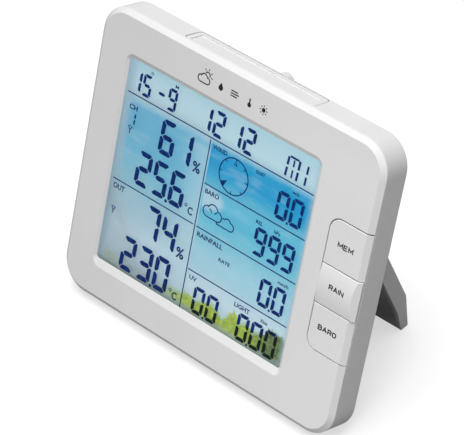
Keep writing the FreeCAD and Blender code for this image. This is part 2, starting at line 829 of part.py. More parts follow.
def crowned_profile(sketch, low, high):
    """Section with a front that swells forward in one arc."""
    bottom = value(low)
    top = value(high)
    rise = Vector(-value("key_crown"), (bottom + top) / 2)
    arc = Part.Arc(Vector(0, top), rise, Vector(0, bottom))
    thickness = value("key_thickness")
    sketch.addGeometry(arc, False)
    sketch.addGeometry(Part.LineSegment(Vector(0, bottom), Vector(thickness, bottom)), False)
    sketch.addGeometry(Part.LineSegment(Vector(thickness, bottom), Vector(thickness, top)), False)
    sketch.addGeometry(Part.LineSegment(Vector(thickness, top), Vector(0, top)), False)
    sketch.addConstraint(Sketcher.Constraint("Coincident", 0, 2, 1, 1))
    sketch.addConstraint(Sketcher.Constraint("Coincident", 1, 2, 2, 1))
    sketch.addConstraint(Sketcher.Constraint("Coincident", 2, 2, 3, 1))
    sketch.addConstraint(Sketcher.Constraint("Coincident", 3, 2, 0, 1))
    pin_point(sketch, 1, 1, "bottom_front", "0", low)
    pin_point(sketch, 2, 1, "bottom_back", "key_thickness", low)
    pin_point(sketch, 3, 1, "top_back", "key_thickness", high)
    pin_point(sketch, 3, 2, "top_front", "0", high)
    half = "((%s) - (%s)) / 2" % (high, low)
    swell = "((%s) ^ 2 + key_crown ^ 2) / (2 * key_crown)" % half
    bind(sketch, Sketcher.Constraint("Radius", 0, value(swell)), "swell", swell)


def make_snooze_bar():
    """Long bar in the top edge, with rounded corners, a shallow dish and a stem to its switch."""
    body = new_body("snooze_bar")
    top = value("case_height")
    add_slab(
        body, "bar_block", BAR_ACROSS, ("bar_front", "bar_back"), ("case_height - bar_thickness", "case_height"),
        "bar_corner",
    )
    round_edges(body, "bar_rim", "bar_edge", lambda centre, edge: near(edge.BoundBox.ZMin, top))
    cut_plate(
        body, "bar_dish", ("-bar_dish_half", "bar_dish_half"), ("bar_dish_front", "bar_dish_back"),
        ("case_height - bar_dish_depth", "case_height + wall"), "bar_dish_depth / 2",
    )
    add_plate(
        body, "bar_flange", ("-bar_flange_half", "bar_flange_half"), ("bar_flange_front", "bar_flange_back"),
        ("bar_flange_low", "bar_flange_high"), "key_edge",
    )
    add_plate(
        body, "bar_stem", ("-bar_stem_half", "bar_stem_half"), ("bar_stem_front", "board_front - key_edge"),
        ("bar_stem_low", "bar_flange_high"), "key_edge",
    )
    return body


def make_rear_key(label):
    """Small key in the back, with a flange inside and a long post to its switch on the board."""
    x = REAR_KEYS[label]
    across = ("%s - rear_key_width / 2" % x, "%s + rear_key_width / 2" % x)
    up = ("rear_key_z - rear_key_height / 2", "rear_key_z + rear_key_height / 2")
    body = new_body(label)
    flange_back = "bulge_depth - wall - rear_key_gap / 2"
    add_plate(body, label + "_cap", across, (flange_back, "bulge_depth + rear_key_proud"), up, "rear_key_corner")
    round_edges(
        body, label + "_edge", "key_edge", lambda centre, edge: near(centre.y, value("bulge_depth + rear_key_proud")),
    )
    add_plate(
        body, label + "_flange", grown(across, "rear_key_flange"), (flange_back + " - key_flange", flange_back),
        grown(up, "rear_key_flange"), "rear_key_corner",
    )
    post = ("rear_key_post_front", flange_back + " - key_flange")
    add_rods(body, label + "_post", [(str(x), "rear_key_z")], "rear_key_post_radius", post)
    return body


def make_slide_knob():
    """Knob of the slide switch, in its middle position."""
    across = ("slot_x - knob_length / 2", "slot_x + knob_length / 2")
    up = ("slot_z - knob_height / 2", "slot_z + knob_height / 2")
    body = new_body("slide_knob")
    add_plate(body, "knob_cap", across, ("knob_front", "bulge_depth + knob_proud"), up, "key_edge")
    round_edges(
        body, "knob_edge", "key_edge / 2", lambda centre, edge: near(centre.y, value("bulge_depth + knob_proud")),
    )
    for step in (-1, 0, 1):
        centre = "slot_x + %d * groove_pitch" % step
        cut_plate(
            body, "knob_groove%d" % (step + 1), (centre + " - groove_width / 2", centre + " + groove_width / 2"),
            ("bulge_depth + knob_proud - groove_depth", "bulge_depth + knob_proud"), grown(up, "groove_depth"),
            "groove_corner",
        )
    return body


def make_battery_cap():
    """Round cap over the coin cell, turned with a coin in its slot."""
    body = new_body("battery_cap")
    back = "cap_ledge + cap_thickness"
    place = [("cell_x", "cell_z")]
    add_rods(body, "cap_disc", place, "cap_radius", ("cap_ledge", back))
    round_edges(
        body, "cap_rim", "cap_edge", lambda centre, edge: near(edge.BoundBox.YMin, value(back)), kind="Chamfer",
    )
    cut_plate(
        body, "cap_slot", ("cell_x - cap_slot_length / 2", "cell_x + cap_slot_length / 2"),
        (back + " - cap_slot_depth", back), ("cell_z - cap_slot_width / 2", "cell_z + cap_slot_width / 2"),
        "round_end * cap_slot_width",
    )
    return body


# ---- stand ---------------------------------------------------------------------------------------


def foot_reach(offset):
    """Distance from the hinge to the floor, along the opened stand, at an offset from its middle."""
    tilt = "(stand_angle - lean)"
    drop = "(hinge_z * cos(lean) - hinge_y * sin(lean) + rest_lift)"
    return "(%s + (%s) * sin%s) / cos%s" % (drop, offset, tilt, tilt)


def stand_point(along, outward):
    """Sketch point of the folded stand: a distance down from the hinge and one out to the back."""
    return "hinge_y + (%s)" % outward, "hinge_z - (%s)" % along


def make_stand():
    """Fold-out stand, drawn folded flat: a channel with side flanges and a bent foot."""
    body = new_body("stand")
    outline = side_sketch(body, "stand_outline", "0")
    polygon(
        outline,
        [
            stand_point("0", "stand_outer"),
            stand_point("stand_bend", "stand_outer"),
            stand_point(foot_reach("foot_outer"), "foot_outer"),
            stand_point(foot_reach("foot_inner"), "foot_inner"),
            stand_point("stand_inner_bend", "stand_inner"),
            stand_point("2 * stand_outer", "stand_inner"),
            stand_point("0", "-stand_outer"),
        ],
    )
    solid_feature(body, "Pad", "stand_block", outline, "2 * stand_half", both_ways=True)
    foot_back = value("hinge_y + foot_outer") - SLACK
    foot_length = value("%s - stand_bend" % foot_reach("foot_outer"))
    round_edges(
        body, "stand_rim", "stand_edge",
        lambda centre, edge: near(abs(centre.x), value("stand_half")) and edge.BoundBox.YMin > foot_back
        and edge.BoundBox.ZLength > foot_length / 2,
    )
    barrel = side_sketch(body, "barrel_outline", "0")
    circles(barrel, [("hinge_y", "hinge_z")], "stand_outer")
    solid_feature(body, "Pad", "stand_barrel", barrel, "2 * stand_half", both_ways=True)
    channel = side_sketch(body, "channel_outline", "0")
    inside = "stand_outer - stand_wall"
    deep = "foot_inner - stand_wall"
    slope = "(stand_outer - foot_outer) / (%s - stand_bend)" % foot_reach("foot_outer")
    end_reach = "(%s - foot_lip)" % foot_reach("foot_inner")
    end_offset = "%s - (%s - stand_bend) * %s" % (inside, end_reach, slope)
    polygon(
        channel,
        [
            stand_point("stand_outer + stand_wall / 2", inside),
            stand_point("stand_bend - stand_bend_inset", inside),
            stand_point(end_reach, end_offset),
            stand_point(end_reach, deep),
            stand_point("stand_outer + stand_wall / 2", deep),
        ],
    )
    channel_width = "2 * (stand_half - stand_wall)"
    solid_feature(body, "Pocket", "stand_channel", channel, channel_width, both_ways=True)
    pins = side_sketch(body, "pin_outline", "0")
    circles(pins, [("hinge_y", "hinge_z")], "pin_radius")
    solid_feature(body, "Pad", "stand_pins", pins, "2 * (stand_half + pin_length)", both_ways=True)
    return body


# ---- display and electronics ---------------------------------------------------------------------


def make_display_pieces():
    """Glass plates, film, light guide and reflector, from front to back."""
    glass_back = "glass_front + glass_thickness"
    layers = {
        "lcd_front_glass": (GLASS_ACROSS, ("glass_front", glass_back), GLASS_UP),
        "lcd_rear_glass": (GLASS_ACROSS, (glass_back, glass_back + " + glass_thickness"), REAR_GLASS_UP),
        "colour_film": (GLASS_ACROSS, ("film_front", "film_front + film_thickness"), GLASS_UP),
        "light_guide": ((GLASS_ACROSS[0], "guide_right"), ("guide_front", "guide_front + guide_thickness"), GLASS_UP),
        "reflector_sheet": (
            (GLASS_ACROSS[0], "guide_right"),
            ("guide_front + guide_thickness", "guide_front + guide_thickness + reflector_thickness"), GLASS_UP,
        ),
    }
    pieces = []
    for label, (across, deep, up) in layers.items():
        pieces.append(group(label, [box(label + "_block", *across, *deep, *up)]))
    return pieces


def make_display_frame():
    """Tray that holds the display against the front shell."""
    body = new_body("display_frame")
    add_plate(
        body, "frame_block", grown(FRAME_INNER_ACROSS, "frame_wall"), ("frame_front", "frame_back"),
        grown(FRAME_INNER_UP, "frame_wall"), "frame_wall",
    )
    cut_plate(
        body, "frame_hollow", FRAME_INNER_ACROSS, ("frame_front", "frame_back - frame_floor"), FRAME_INNER_UP,
        "key_edge",
    )
    strip = INNER_BOXES["contact_strip"]
    cut_plate(
        body, "strip_slot", grown((strip[0], strip[1]), "glass_clearance"), ("frame_front", "frame_back"),
        grown((strip[4], strip[5]), "glass_clearance"), "key_edge",
    )
    return body


def make_backlight():
    """Strip of light-emitting diodes at the right-hand end of the light guide."""
    led_left = "guide_right + film_thickness"
    board_left = led_left + " + led_size"
    low, high = GLASS_UP
    strip = box(
        "led_strip", board_left, board_left + " + led_board_thickness", "guide_front",
        "guide_front + guide_thickness", low, high,
    )
    leds = []
    count = int(SIZES["led_count"])
    for index in range(count):
        share = "(%d + 0.5) / led_count" % index
        centre = "(%s) + ((%s) - (%s)) * %s" % (low, high, low, share)
        leds.append(
            box(
                "led%d" % index, led_left, board_left, "guide_front + led_inset",
                "guide_front + guide_thickness - led_inset",
                centre + " - led_length / 2", centre + " + led_length / 2",
            )
        )
    return [group("backlight_board", [strip]), group("backlight_leds", leds)]


def make_main_board():
    """Printed circuit board with a foot for the contact strip and a tab for the top switch."""
    body = new_body("main_board")
    outline = front_sketch(body, "board_outline", "0", "board_front", "0")
    polygon(
        outline,
        [
            ("board_left", "board_low"), ("board_foot_left", "board_low"), ("board_foot_left", "board_foot_low"),
            ("board_foot_right", "board_foot_low"), ("board_foot_right", "board_low"), ("board_right", "board_low"),
            ("board_right", "board_high"), ("board_tab_half", "board_high"), ("board_tab_half", "board_tab_high"),
            ("-board_tab_half", "board_tab_high"), ("-board_tab_half", "board_high"), ("board_left", "board_high"),
        ],
    )
    solid_feature(body, "Pad", "board_plate", outline, "board_thickness", backwards=True)
    cut_rods(body, "board_holes", POST_PLACES, "board_hole", ("board_front", BOARD_BACK))
    return body


def push_switch(name, x, z, backwards):
    """Push switch on the board: a square case and a round plunger towards the front or the back."""
    if backwards:
        start, end = BOARD_BACK, BOARD_BACK + " + switch_height"
        plunger_start = end
    else:
        start, end = "board_front - switch_height", "board_front"
        plunger_start = start + " - plunger_height"
    case = box(
        name + "_case", "%s - switch_half" % x, "%s + switch_half" % x, start, end,
        "%s - switch_half" % z, "%s + switch_half" % z,
    )
    plunger = rod(name + "_plunger", x, plunger_start, z, "plunger_radius", "plunger_height")
    return fuse(name, [case, plunger])


def make_switches():
    """Switches of the front keys and the rear keys, and the one in the top for the long bar."""
    front = [
        push_switch("front_switch%d" % index, "key_post_x", "(%s)" % middle(span), False)
        for index, span in enumerate(FRONT_KEY_SPANS.values())
    ]
    rear = [
        push_switch("rear_switch%d" % index, "(%s)" % x, "rear_key_z", True)
        for index, x in enumerate(REAR_KEYS.values())
    ]
    case_high = "bar_stem_low - top_switch_gap - plunger_height"
    case = box(
        "top_switch_case", "-switch_half", "switch_half", "board_front - top_switch_depth", "board_front",
        case_high + " - top_switch_height", case_high,
    )
    plunger = rod(
        "top_switch_plunger", "0", "board_front - top_switch_depth / 2", case_high, "plunger_radius",
        "plunger_height", axis="z",
    )
    return [
        group("front_switches", front), group("rear_switches", rear),
        group("snooze_switch", [fuse("top_switch", [case, plunger])]),
    ]


def make_power_jack():
    """Socket for a round plug: a block with a deep bore, and its centre pin."""
    left = "-bulge_width / 2 + wall"
    block = box(
        "jack_block", left, left + " + jack_length", BOARD_BACK, "jack_y + jack_half", "jack_z - jack_half",
        "jack_z + jack_half",
    )
    bore = rod("jack_bore", left, "jack_y", "jack_z", "jack_radius", "jack_depth", axis="x")
    shell = cut("power_jack", block, bore)
    shell.Label = "power_jack"
    pin = rod(
        "jack_pin_rod", left + " + jack_pin_start", "jack_y", "jack_z", "jack_pin_radius",
        "jack_depth - jack_pin_start", axis="x",
    )
    return [shell, group("power_jack_pin", [pin])]


def make_coin_cell():
    """Coin cell: a wide can with the smaller negative face towards the front."""
    can = rod(
        "cell_can", "cell_x", "cell_front + cell_lid_thickness", "cell_z", "cell_radius",
        "cell_thickness - cell_lid_thickness",
    )
    lid = rod("cell_lid", "cell_x", "cell_front", "cell_z", "cell_lid_radius", "cell_lid_thickness")
    cell = fuse("coin_cell", [can, lid])
    cell.Label = "coin_cell"
    return cell


def make_screws(label, places, seat, screw):
    """Group of equal screws whose heads sit on the depth given and whose tips point to the front."""
    screws = []
    for index, (x, z) in enumerate(places):
        head = rod(
            "%s_head%d" % (label, index), x, seat, z, str(screw["head_radius"]), str(screw["head_height"]),
        )
        shank = rod(
            "%s_shank%d" % (label, index), x, "(%s) - %s" % (seat, screw["length"]), z,
            str(screw["shank_radius"]), str(screw["length"]),
        )
        screws.append(fuse("%s_screw%d" % (label, index), [head, shank]))
    return group(label, screws)


def make_board_parts():
    """Pieces that stand on the back of the main board."""
    pieces = []
    for label, sides in INNER_BOXES.items():
        pieces.append(group(label, [box(label + "_block", *sides)]))
    pieces.append(group("circuit_chips", [box("chip%d" % index, *sides) for index, sides in enumerate(CHIPS)]))
    cans = [
        rod("capacitor%d" % index, x, BOARD_BACK, z, CAPACITOR_RADIUS, CAPACITOR_HEIGHT)
        for index, (x, z) in enumerate(CAPACITORS)
    ]
    pieces.append(group("capacitors", cans))
    x, z = BUZZER_PLACE
    drum = rod("buzzer_drum", x, BOARD_BACK, z, BUZZER_RADIUS, BUZZER_HEIGHT)
    hole = rod("buzzer_hole", x, BOARD_BACK + " + %s / 2" % BUZZER_HEIGHT, z, BUZZER_HOLE, BUZZER_HEIGHT)
    buzzer = cut("buzzer", drum, hole)
    buzzer.Label = "buzzer"
    pieces.append(buzzer)
    x, z = CRYSTAL_PLACE
    can = rod("crystal_can", x, BOARD_BACK + " + %s" % CRYSTAL_RADIUS, z, CRYSTAL_RADIUS, CRYSTAL_LENGTH, axis="z")
    pieces.append(group("quartz_crystal", [can]))
    x, y = ANTENNA_PLACE
    wire = rod("antenna_wire", x, y, INNER_BOXES["radio_board"][5], ANTENNA_RADIUS, ANTENNA_LENGTH, axis="z")
    pieces.append(group("radio_antenna", [wire]))
    return pieces


# ---- assembly ------------------------------------------------------------------------------------


def lean_and_centre(pieces, stand):
    """Open the stand, lean every piece back onto the floor and centre them all on the origin."""
    angle = value("lean")
    hinge = Vector(0, value("hinge_y"), value("hinge_z"))
    opened = Placement(Vector(), Rotation(Vector(1, 0, 0), value("stand_angle")), hinge)
    lean = Placement(Vector(0, 0, value("rest_lift")), Rotation(Vector(1, 0, 0), -angle))
    for piece in pieces:
        piece.Placement = lean.multiply(opened) if piece is stand else lean
    document.recompute()
    extent = FreeCAD.BoundBox()
    for piece in pieces:
        extent.add(piece.Shape.BoundBox)
    to_centre = Placement(Vector(0, -extent.Center.y, 0), Rotation())
    for piece in pieces:
        piece.Placement = to_centre.multiply(piece.Placement)
    document.recompute()
    return extent


def check_document(pieces):
    """Stop if any object of the document failed, or a piece is empty or not valid."""
    for item in document.Objects:
        if "Invalid" in item.State or "Error" in item.State:
            raise RuntimeError("%s could not be built: %s" % (item.Name, item.State))
    for piece in pieces:
        if piece.Shape.isNull() or not piece.Shape.isValid() or not piece.Shape.Solids:
            raise RuntimeError("%s has no valid solid" % piece.Label)


def main():
    pieces = [make_front_bezel(), make_rear_housing()]
    pieces += make_display_pieces()
    pieces += [make_display_frame()]
    pieces += make_backlight()
    pieces += [make_front_key(label) for label in FRONT_KEY_SPANS]
    pieces += [make_snooze_bar()]
    pieces += [make_rear_key(label) for label in REAR_KEYS]
    pieces += [make_slide_knob(), make_battery_cap(), make_main_board()]
    pieces += make_switches()
    pieces += make_power_jack()
    pieces += [make_coin_cell()]
    pieces += make_board_parts()
    pieces += [
        make_screws("case_screws", BOSS_PLACES, "counterbore_floor", CASE_SCREW),
        make_screws("board_screws", POST_PLACES, BOARD_BACK, BOARD_SCREW),
    ]
    stand = make_stand()
    pieces.append(stand)
    document.recompute()
    check_document(pieces)
    extent = lean_and_centre(pieces, stand)
    check_document(pieces)
    os.makedirs("parts", exist_ok=True)
    for piece in pieces:
        piece.Shape.exportStep("parts/%s.step" % piece.Label)
        print("%-20s %8.1f mm3, %d solid(s)" % (piece.Label, piece.Shape.Volume, len(piece.Shape.Solids)))
    print("moved by %.4f mm along y to centre it" % -extent.Center.y)


main()
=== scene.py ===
"""A white desk display for a weather station: its plastics, its colour display and its printing.

Shapes drawn on a face are given in millimetres: x from the left edge of the case, y up the leaning
front from its lower edge. Depths run from the front face (0) towards the back.
"""
import json
import math

import bmesh
import bpy
from mathutils import Matrix, Quaternion, Vector
from mathutils.bvhtree import BVHTree


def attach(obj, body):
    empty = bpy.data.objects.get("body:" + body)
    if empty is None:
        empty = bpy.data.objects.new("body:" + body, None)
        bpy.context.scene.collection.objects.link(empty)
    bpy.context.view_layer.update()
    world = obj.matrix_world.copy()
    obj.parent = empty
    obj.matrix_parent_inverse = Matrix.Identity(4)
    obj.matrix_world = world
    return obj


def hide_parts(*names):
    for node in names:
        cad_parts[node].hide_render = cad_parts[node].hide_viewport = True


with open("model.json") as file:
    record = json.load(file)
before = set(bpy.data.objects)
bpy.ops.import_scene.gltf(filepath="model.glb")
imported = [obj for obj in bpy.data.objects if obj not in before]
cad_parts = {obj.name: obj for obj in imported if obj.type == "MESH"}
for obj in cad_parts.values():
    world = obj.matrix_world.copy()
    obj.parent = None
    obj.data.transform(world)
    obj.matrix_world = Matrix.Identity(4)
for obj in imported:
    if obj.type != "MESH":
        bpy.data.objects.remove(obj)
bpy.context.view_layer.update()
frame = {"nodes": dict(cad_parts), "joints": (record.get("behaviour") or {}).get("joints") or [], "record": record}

MM = 0.001
scene = bpy.context.scene

# ---------------------------------------------------------------- where the leaning case is

LEAN = math.radians(22)
ACROSS = Vector((1, 0, 0))
BACK = Vector((0, math.cos(LEAN), -math.sin(LEAN)))
UP = Vector((0, math.sin(LEAN), math.cos(LEAN)))
HALF_WIDTH = 65.0
HINGE_DEPTH = 24.5
HINGE_HEIGHT = 65.9
REAR_DEPTH = 27.5

joints = {joint["name"]: joint for joint in frame["joints"]}
hinge = Vector(joints["stand_hinge"]["pos_m"])
corner = hinge - MM * (HINGE_DEPTH * BACK + HINGE_HEIGHT * UP)


def console(x, depth, height):
    """A place on the case, from its middle, its front face and its lower edge, in metres."""
    return corner + MM * (x * ACROSS + depth * BACK + height * UP)


def front_face(x, y, out):
    """A place on the front face, x from the left edge, standing out of the face by out."""
    return console(x - HALF_WIDTH, -out, y)


def rear_face(x, y, out):
    """A place on the raised back as seen from behind, x to the right from the middle."""
    return console(-x, REAR_DEPTH + out, y)


def laid_on(node):
    """A face like front_face that follows the real surface of one piece of the case."""
    surface = BVHTree.FromObject(frame["nodes"][node], bpy.context.evaluated_depsgraph_get())
    start = 20.0

    def place(x, y, out):
        spot = surface.ray_cast(front_face(x, y, start), BACK)[0]
        return spot - MM * out * BACK

    return place


# ---------------------------------------------------------------- the display and its print

WALL_BETWEEN_CELLS = 55.4
HEDGE_SCALE = 30.0
HEDGE_LENGTH = 104.0

# x and height of the top of the printed hedge
HEDGE_TOPS = (
    (14, 19.2), (20, 20.4), (24, 15.5), (42, 17.0), (47, 19.6), (54, 20.6), (57, 21.7), (60, 20.2),
    (64, 21.8), (69, 22.8), (74, 19.8), (76.2, 22.2), (78.6, 25.6), (81.5, 21.6), (84.5, 23.6),
    (88, 21.6), (92, 23.2), (95, 26.2), (101, 26.0), (104, 23.5),
)

# height of each band of sky and its colour, in the cells left and right of the wall
SKY_HEIGHT = 100.0
LEFT_SKY = (
    (15, (132, 152, 160)), (18, (150, 172, 182)), (22, (168, 194, 208)), (31, (180, 207, 222)),
    (38, (160, 193, 210)), (44, (150, 190, 207)), (51, (128, 185, 204)), (58, (108, 178, 205)),
    (68, (92, 169, 202)), (77.5, (98, 170, 202)), (79.3, (146, 188, 207)), (81, (166, 192, 204)),
    (84, (173, 205, 217)), (89, (176, 205, 219)), (94, (158, 201, 213)),
)
RIGHT_SKY = (
    (15, (140, 160, 160)), (19, (168, 196, 208)), (25, (188, 211, 222)), (30, (177, 206, 220)),
    (33, (158, 199, 215)), (39, (148, 198, 216)), (46, (124, 189, 210)), (50, (104, 185, 209)),
    (55, (80, 175, 206)), (60, (90, 180, 209)), (65, (88, 174, 203)), (68.5, (40, 157, 201)),
    (72, (4, 146, 198)), (78, (12, 148, 198)), (79.6, (112, 178, 207)), (81, (160, 194, 208)),
    (84, (178, 208, 220)), (89, (172, 204, 217)), (94, (164, 205, 218)),
)


# ---------------------------------------------------------------- material recipes

def shade(red, green, blue):
    """A colour given on the 0 to 255 scale, as the linear colour that shaders take."""
    def linear(part):
        part /= 255
        return part / 12.92 if part <= 0.04045 else ((part + 0.055) / 1.055) ** 2.4
    return (linear(red), linear(green), linear(blue), 1.0)


def add_node(tree, kind, inputs=None, **settings):
    """Adds a node. An input that is given a socket is linked to it, and any other is set."""
    node = tree.nodes.new(kind)
    for name, value in settings.items():
        setattr(node, name, value)
    for name, value in (inputs or {}).items():
        if isinstance(value, bpy.types.NodeSocket):
            tree.links.new(value, node.inputs[name])
        else:
            node.inputs[name].default_value = value
    return node


class Recipe:
    """The node tree of one material, with short ways to add and join nodes."""

    def __init__(self, name):
        self.material = bpy.data.materials.new(name)
        self.material.use_nodes = True
        self.tree = self.material.node_tree
        self.tree.nodes.clear()

    def add(self, kind, inputs=None, **settings):
        return add_node(self.tree, kind, inputs, **settings)

    def spot(self):
        """Object coordinates, in metres."""
        return self.add("ShaderNodeTexCoord").outputs["Object"]

    def case_spot(self):
        """Millimetres on the leaning case: x from the middle, depth and height."""
        return self.add(
            "ShaderNodeMapping",
            {"Vector": self.spot(), "Location": corner, "Rotation": (-LEAN, 0, 0), "Scale": (MM, MM, MM)},
            vector_type="TEXTURE",
        ).outputs["Vector"]

    def math(self, operation, first, second=0.0, third=0.0):
        return self.add(
            "ShaderNodeMath", {0: first, 1: second, 2: third}, operation=operation
        ).outputs[0]

    def noise(self, spot, scale, detail=2.0, stretch=None):
        if stretch:
            spot = self.add("ShaderNodeMapping", {"Vector": spot, "Scale": stretch}).outputs["Vector"]
        return self.add(
            "ShaderNodeTexNoise", {"Vector": spot, "Scale": scale, "Detail": detail}
        ).outputs["Fac"]

    def fade(self, value, start, end, low=0.0, high=1.0):
        """low before start, high after end, smooth between them."""
        return self.add(
            "ShaderNodeMapRange",
            {"Value": value, "From Min": start, "From Max": end, "To Min": low, "To Max": high},
            interpolation_type="SMOOTHSTEP",
        ).outputs[0]

    def mix(self, factor, first, second):
        return self.add(
            "ShaderNodeMix", {0: factor, 6: first, 7: second}, data_type="RGBA"
        ).outputs[2]

    def ramp(self, factor, stops, length=1.0):
        """A colour ramp whose stops are (place, colour), with places from 0 to length."""
        node = self.add("ShaderNodeValToRGB", {"Fac": self.math("DIVIDE", factor, length)})
        band = node.color_ramp
        while len(band.elements) < len(stops):
            band.elements.new(1.0)
        for element, (place, colour) in zip(band.elements, stops):
            element.position = place / length
            element.color = colour
        return node.outputs["Color"]

    def bump(self, height, strength, depth):
        return self.add(
            "ShaderNodeBump", {"Height": height, "Strength": strength, "Distance": depth}
        ).outputs["Normal"]

    def surface(self, **inputs):
        """The main shader. An input's name has _ for each space."""
        named = {name.replace("_", " "): value for name, value in inputs.items()}
        return self.add("ShaderNodeBsdfPrincipled", named).outputs[0]

    def finish(self, shader):
        self.add("ShaderNodeOutputMaterial", {"Surface": shader})
        return self.material


def moulded_plastic(name, tone, roughness, grain=0.0004, relief=0.25, specular=0.5):
    """Injection-moulded plastic: a fine satin grain, with slow drifts of tone and gloss."""
    recipe = Recipe(name)
    spot = recipe.spot()
    drift = recipe.fade(recipe.noise(spot, 28.0, 3.0), 0.3, 0.7)
    fine = recipe.noise(spot, 1 / grain, 3.0)
    darker = tuple(part * 0.965 for part in tone[:3]) + (1.0,)
    colour = recipe.mix(drift, darker, tone)
    colour = recipe.mix(recipe.fade(fine, 0.25, 0.75, 0.0, 0.05), colour, shade(120, 120, 122))
    gloss = recipe.math("MULTIPLY_ADD", fine, 0.14, roughness - 0.07)
    return recipe.finish(recipe.surface(
        Base_Color=colour,
        Roughness=gloss,
        Specular_IOR_Level=specular,
        Normal=recipe.bump(fine, relief, 0.00003),
    ))


def display_glass():
    """Thin display glass with a matt front polariser: seen straight through, with a soft sheen."""
    recipe = Recipe("display_glass")
    haze = recipe.noise(recipe.spot(), 900.0, 2.0)
    clear = recipe.add("ShaderNodeBsdfTransparent", {"Color": (0.985, 0.99, 0.99, 1.0)}).outputs[0]
    sheen = recipe.add(
        "ShaderNodeBsdfGlossy", {"Roughness": recipe.fade(haze, 0.2, 0.8, 0.16, 0.24)}
    ).outputs[0]
    edge = recipe.math("MULTIPLY", recipe.add("ShaderNodeFresnel", {"IOR": 1.36}).outputs[0], 0.25)
    return recipe.finish(recipe.add("ShaderNodeMixShader", {0: edge, 1: clear, 2: sheen}).outputs[0])


def garden(recipe, spot):
    """How much of the printed hedge covers each point, and how dark it is there, from 0 to 1."""
    place = recipe.add("ShaderNodeSeparateXYZ", {"Vector": spot})
    x = recipe.math("ADD", place.outputs["X"], HALF_WIDTH)
    y = place.outputs["Z"]
    top = recipe.ramp(
        x, [(at, (high / HEDGE_SCALE,) * 3 + (1.0,)) for at, high in HEDGE_TOPS], HEDGE_LENGTH)
    top = recipe.math("MULTIPLY", top, HEDGE_SCALE)
    leaves = recipe.noise(spot, 0.75, 3.0)
    top = recipe.math("ADD", top, recipe.math("MULTIPLY_ADD", leaves, 5.0, -2.5))
    above = recipe.math("SUBTRACT", top, y)
    cover = recipe.math("MULTIPLY", recipe.fade(above, -0.9, 1.1), recipe.fade(y, 14.8, 17.6, 0.35, 1.0))
    strength = recipe.fade(x, 40.0, 58.0, 0.24, 0.92)
    cover = recipe.math("MULTIPLY", cover, strength)
    return cover, recipe.fade(x, 84.0, 96.0), leaves


def printed_film():
    """The colour film behind the display: a sky that changes from cell to cell, over a hedge."""
    recipe = Recipe("colour_film")
    spot = recipe.case_spot()
    place = recipe.add("ShaderNodeSeparateXYZ", {"Vector": spot})
    x = recipe.math("ADD", place.outputs["X"], HALF_WIDTH)
    clouds = recipe.noise(spot, 0.09, 4.0, (1.0, 1.0, 1.9))
    y = recipe.math("ADD", place.outputs["Z"], recipe.math("MULTIPLY_ADD", clouds, 3.0, -1.5))
    left, right = (
        recipe.ramp(y, [(at, shade(*colour)) for at, colour in sky], SKY_HEIGHT)
        for sky in (LEFT_SKY, RIGHT_SKY))
    wall = WALL_BETWEEN_CELLS
    beside_wall = recipe.math("MULTIPLY", recipe.fade(x, 40.0, wall, 0.0, 0.6), recipe.fade(y, 79, 75))
    left = recipe.mix(beside_wall, left, shade(172, 204, 218))
    colour = recipe.mix(recipe.math("GREATER_THAN", x, wall), left, right)
    # a white cloud in the pressure cell, and streaks of haze everywhere
    cloud_x = recipe.math("DIVIDE", recipe.math("SUBTRACT", x, 57.5), 8.0)
    cloud_y = recipe.math("DIVIDE", recipe.math("SUBTRACT", y, 59.5), 5.0)
    far = recipe.math("ADD", recipe.math("POWER", cloud_x, 2.0), recipe.math("POWER", cloud_y, 2.0))
    puff = recipe.math("MULTIPLY", recipe.fade(far, 1.3, 0.3, 0.0, 0.75), recipe.fade(x, wall, 56.0))
    colour = recipe.mix(puff, colour, shade(182, 206, 220))
    haze = recipe.fade(recipe.noise(spot, 0.16, 4.0, (0.6, 1.0, 1.8)), 0.48, 0.8, 0.0, 0.26)
    colour = recipe.mix(haze, colour, shade(190, 212, 222))
    cover, depth, leaves = garden(recipe, spot)
    fresh = recipe.mix(recipe.fade(leaves, 0.35, 0.65), shade(134, 158, 8), shade(166, 188, 6))
    deep = recipe.mix(recipe.fade(leaves, 0.35, 0.65), shade(48, 70, 4), shade(98, 122, 18))
    colour = recipe.mix(cover, colour, recipe.mix(depth, fresh, deep))
    # Painted light: paler bands at the film's left and right edges stand in for the backlight near those edges.
    left_edge = recipe.fade(x, 18.5, 14.4, 0.0, 0.85)
    right_edge = recipe.fade(x, 99.5, 103.4, 0.0, 0.75)
    colour = recipe.mix(recipe.math("MAXIMUM", left_edge, right_edge), colour, shade(158, 184, 200))
    foot = recipe.fade(y, 17.6, 14.8, 0.0, 0.7)
    colour = recipe.mix(foot, colour, shade(126, 142, 140))
    body = recipe.mix(0.22, (0, 0, 0, 1), colour)
    return recipe.finish(recipe.surface(
        Base_Color=body, Roughness=0.6, Emission_Color=colour, Emission_Strength=1.0
    ))


def liquid_crystal():
    """The dark segments of the display: navy over the sky and nearly black over the hedge."""
    recipe = Recipe("liquid_crystal")
    spot = recipe.case_spot()
    cover = garden(recipe, spot)[0]
    patchy = recipe.fade(recipe.noise(spot, 0.5, 3.0), 0.3, 0.7)
    navy = recipe.mix(patchy, shade(0, 30, 100), shade(0, 58, 134))
    colour = recipe.mix(recipe.fade(cover, 0.1, 0.8), navy, shade(14, 30, 26))
    return recipe.finish(recipe.surface(Base_Color=colour, Roughness=0.5, Specular_IOR_Level=0.2))


def printing_ink(name, tone, wear=0.12):
    """Pad-printed ink, very slightly worn through in places."""
    recipe = Recipe(name)
    spot = recipe.spot()
    worn = recipe.fade(recipe.noise(spot, 1800.0, 3.0), 0.6, 0.85, 0.0, wear)
    colour = recipe.mix(worn, tone, shade(200, 200, 200))
    gloss = recipe.fade(recipe.noise(spot, 700.0), 0.2, 0.8, 0.4, 0.6)
    return recipe.finish(recipe.surface(Base_Color=colour, Roughness=gloss))


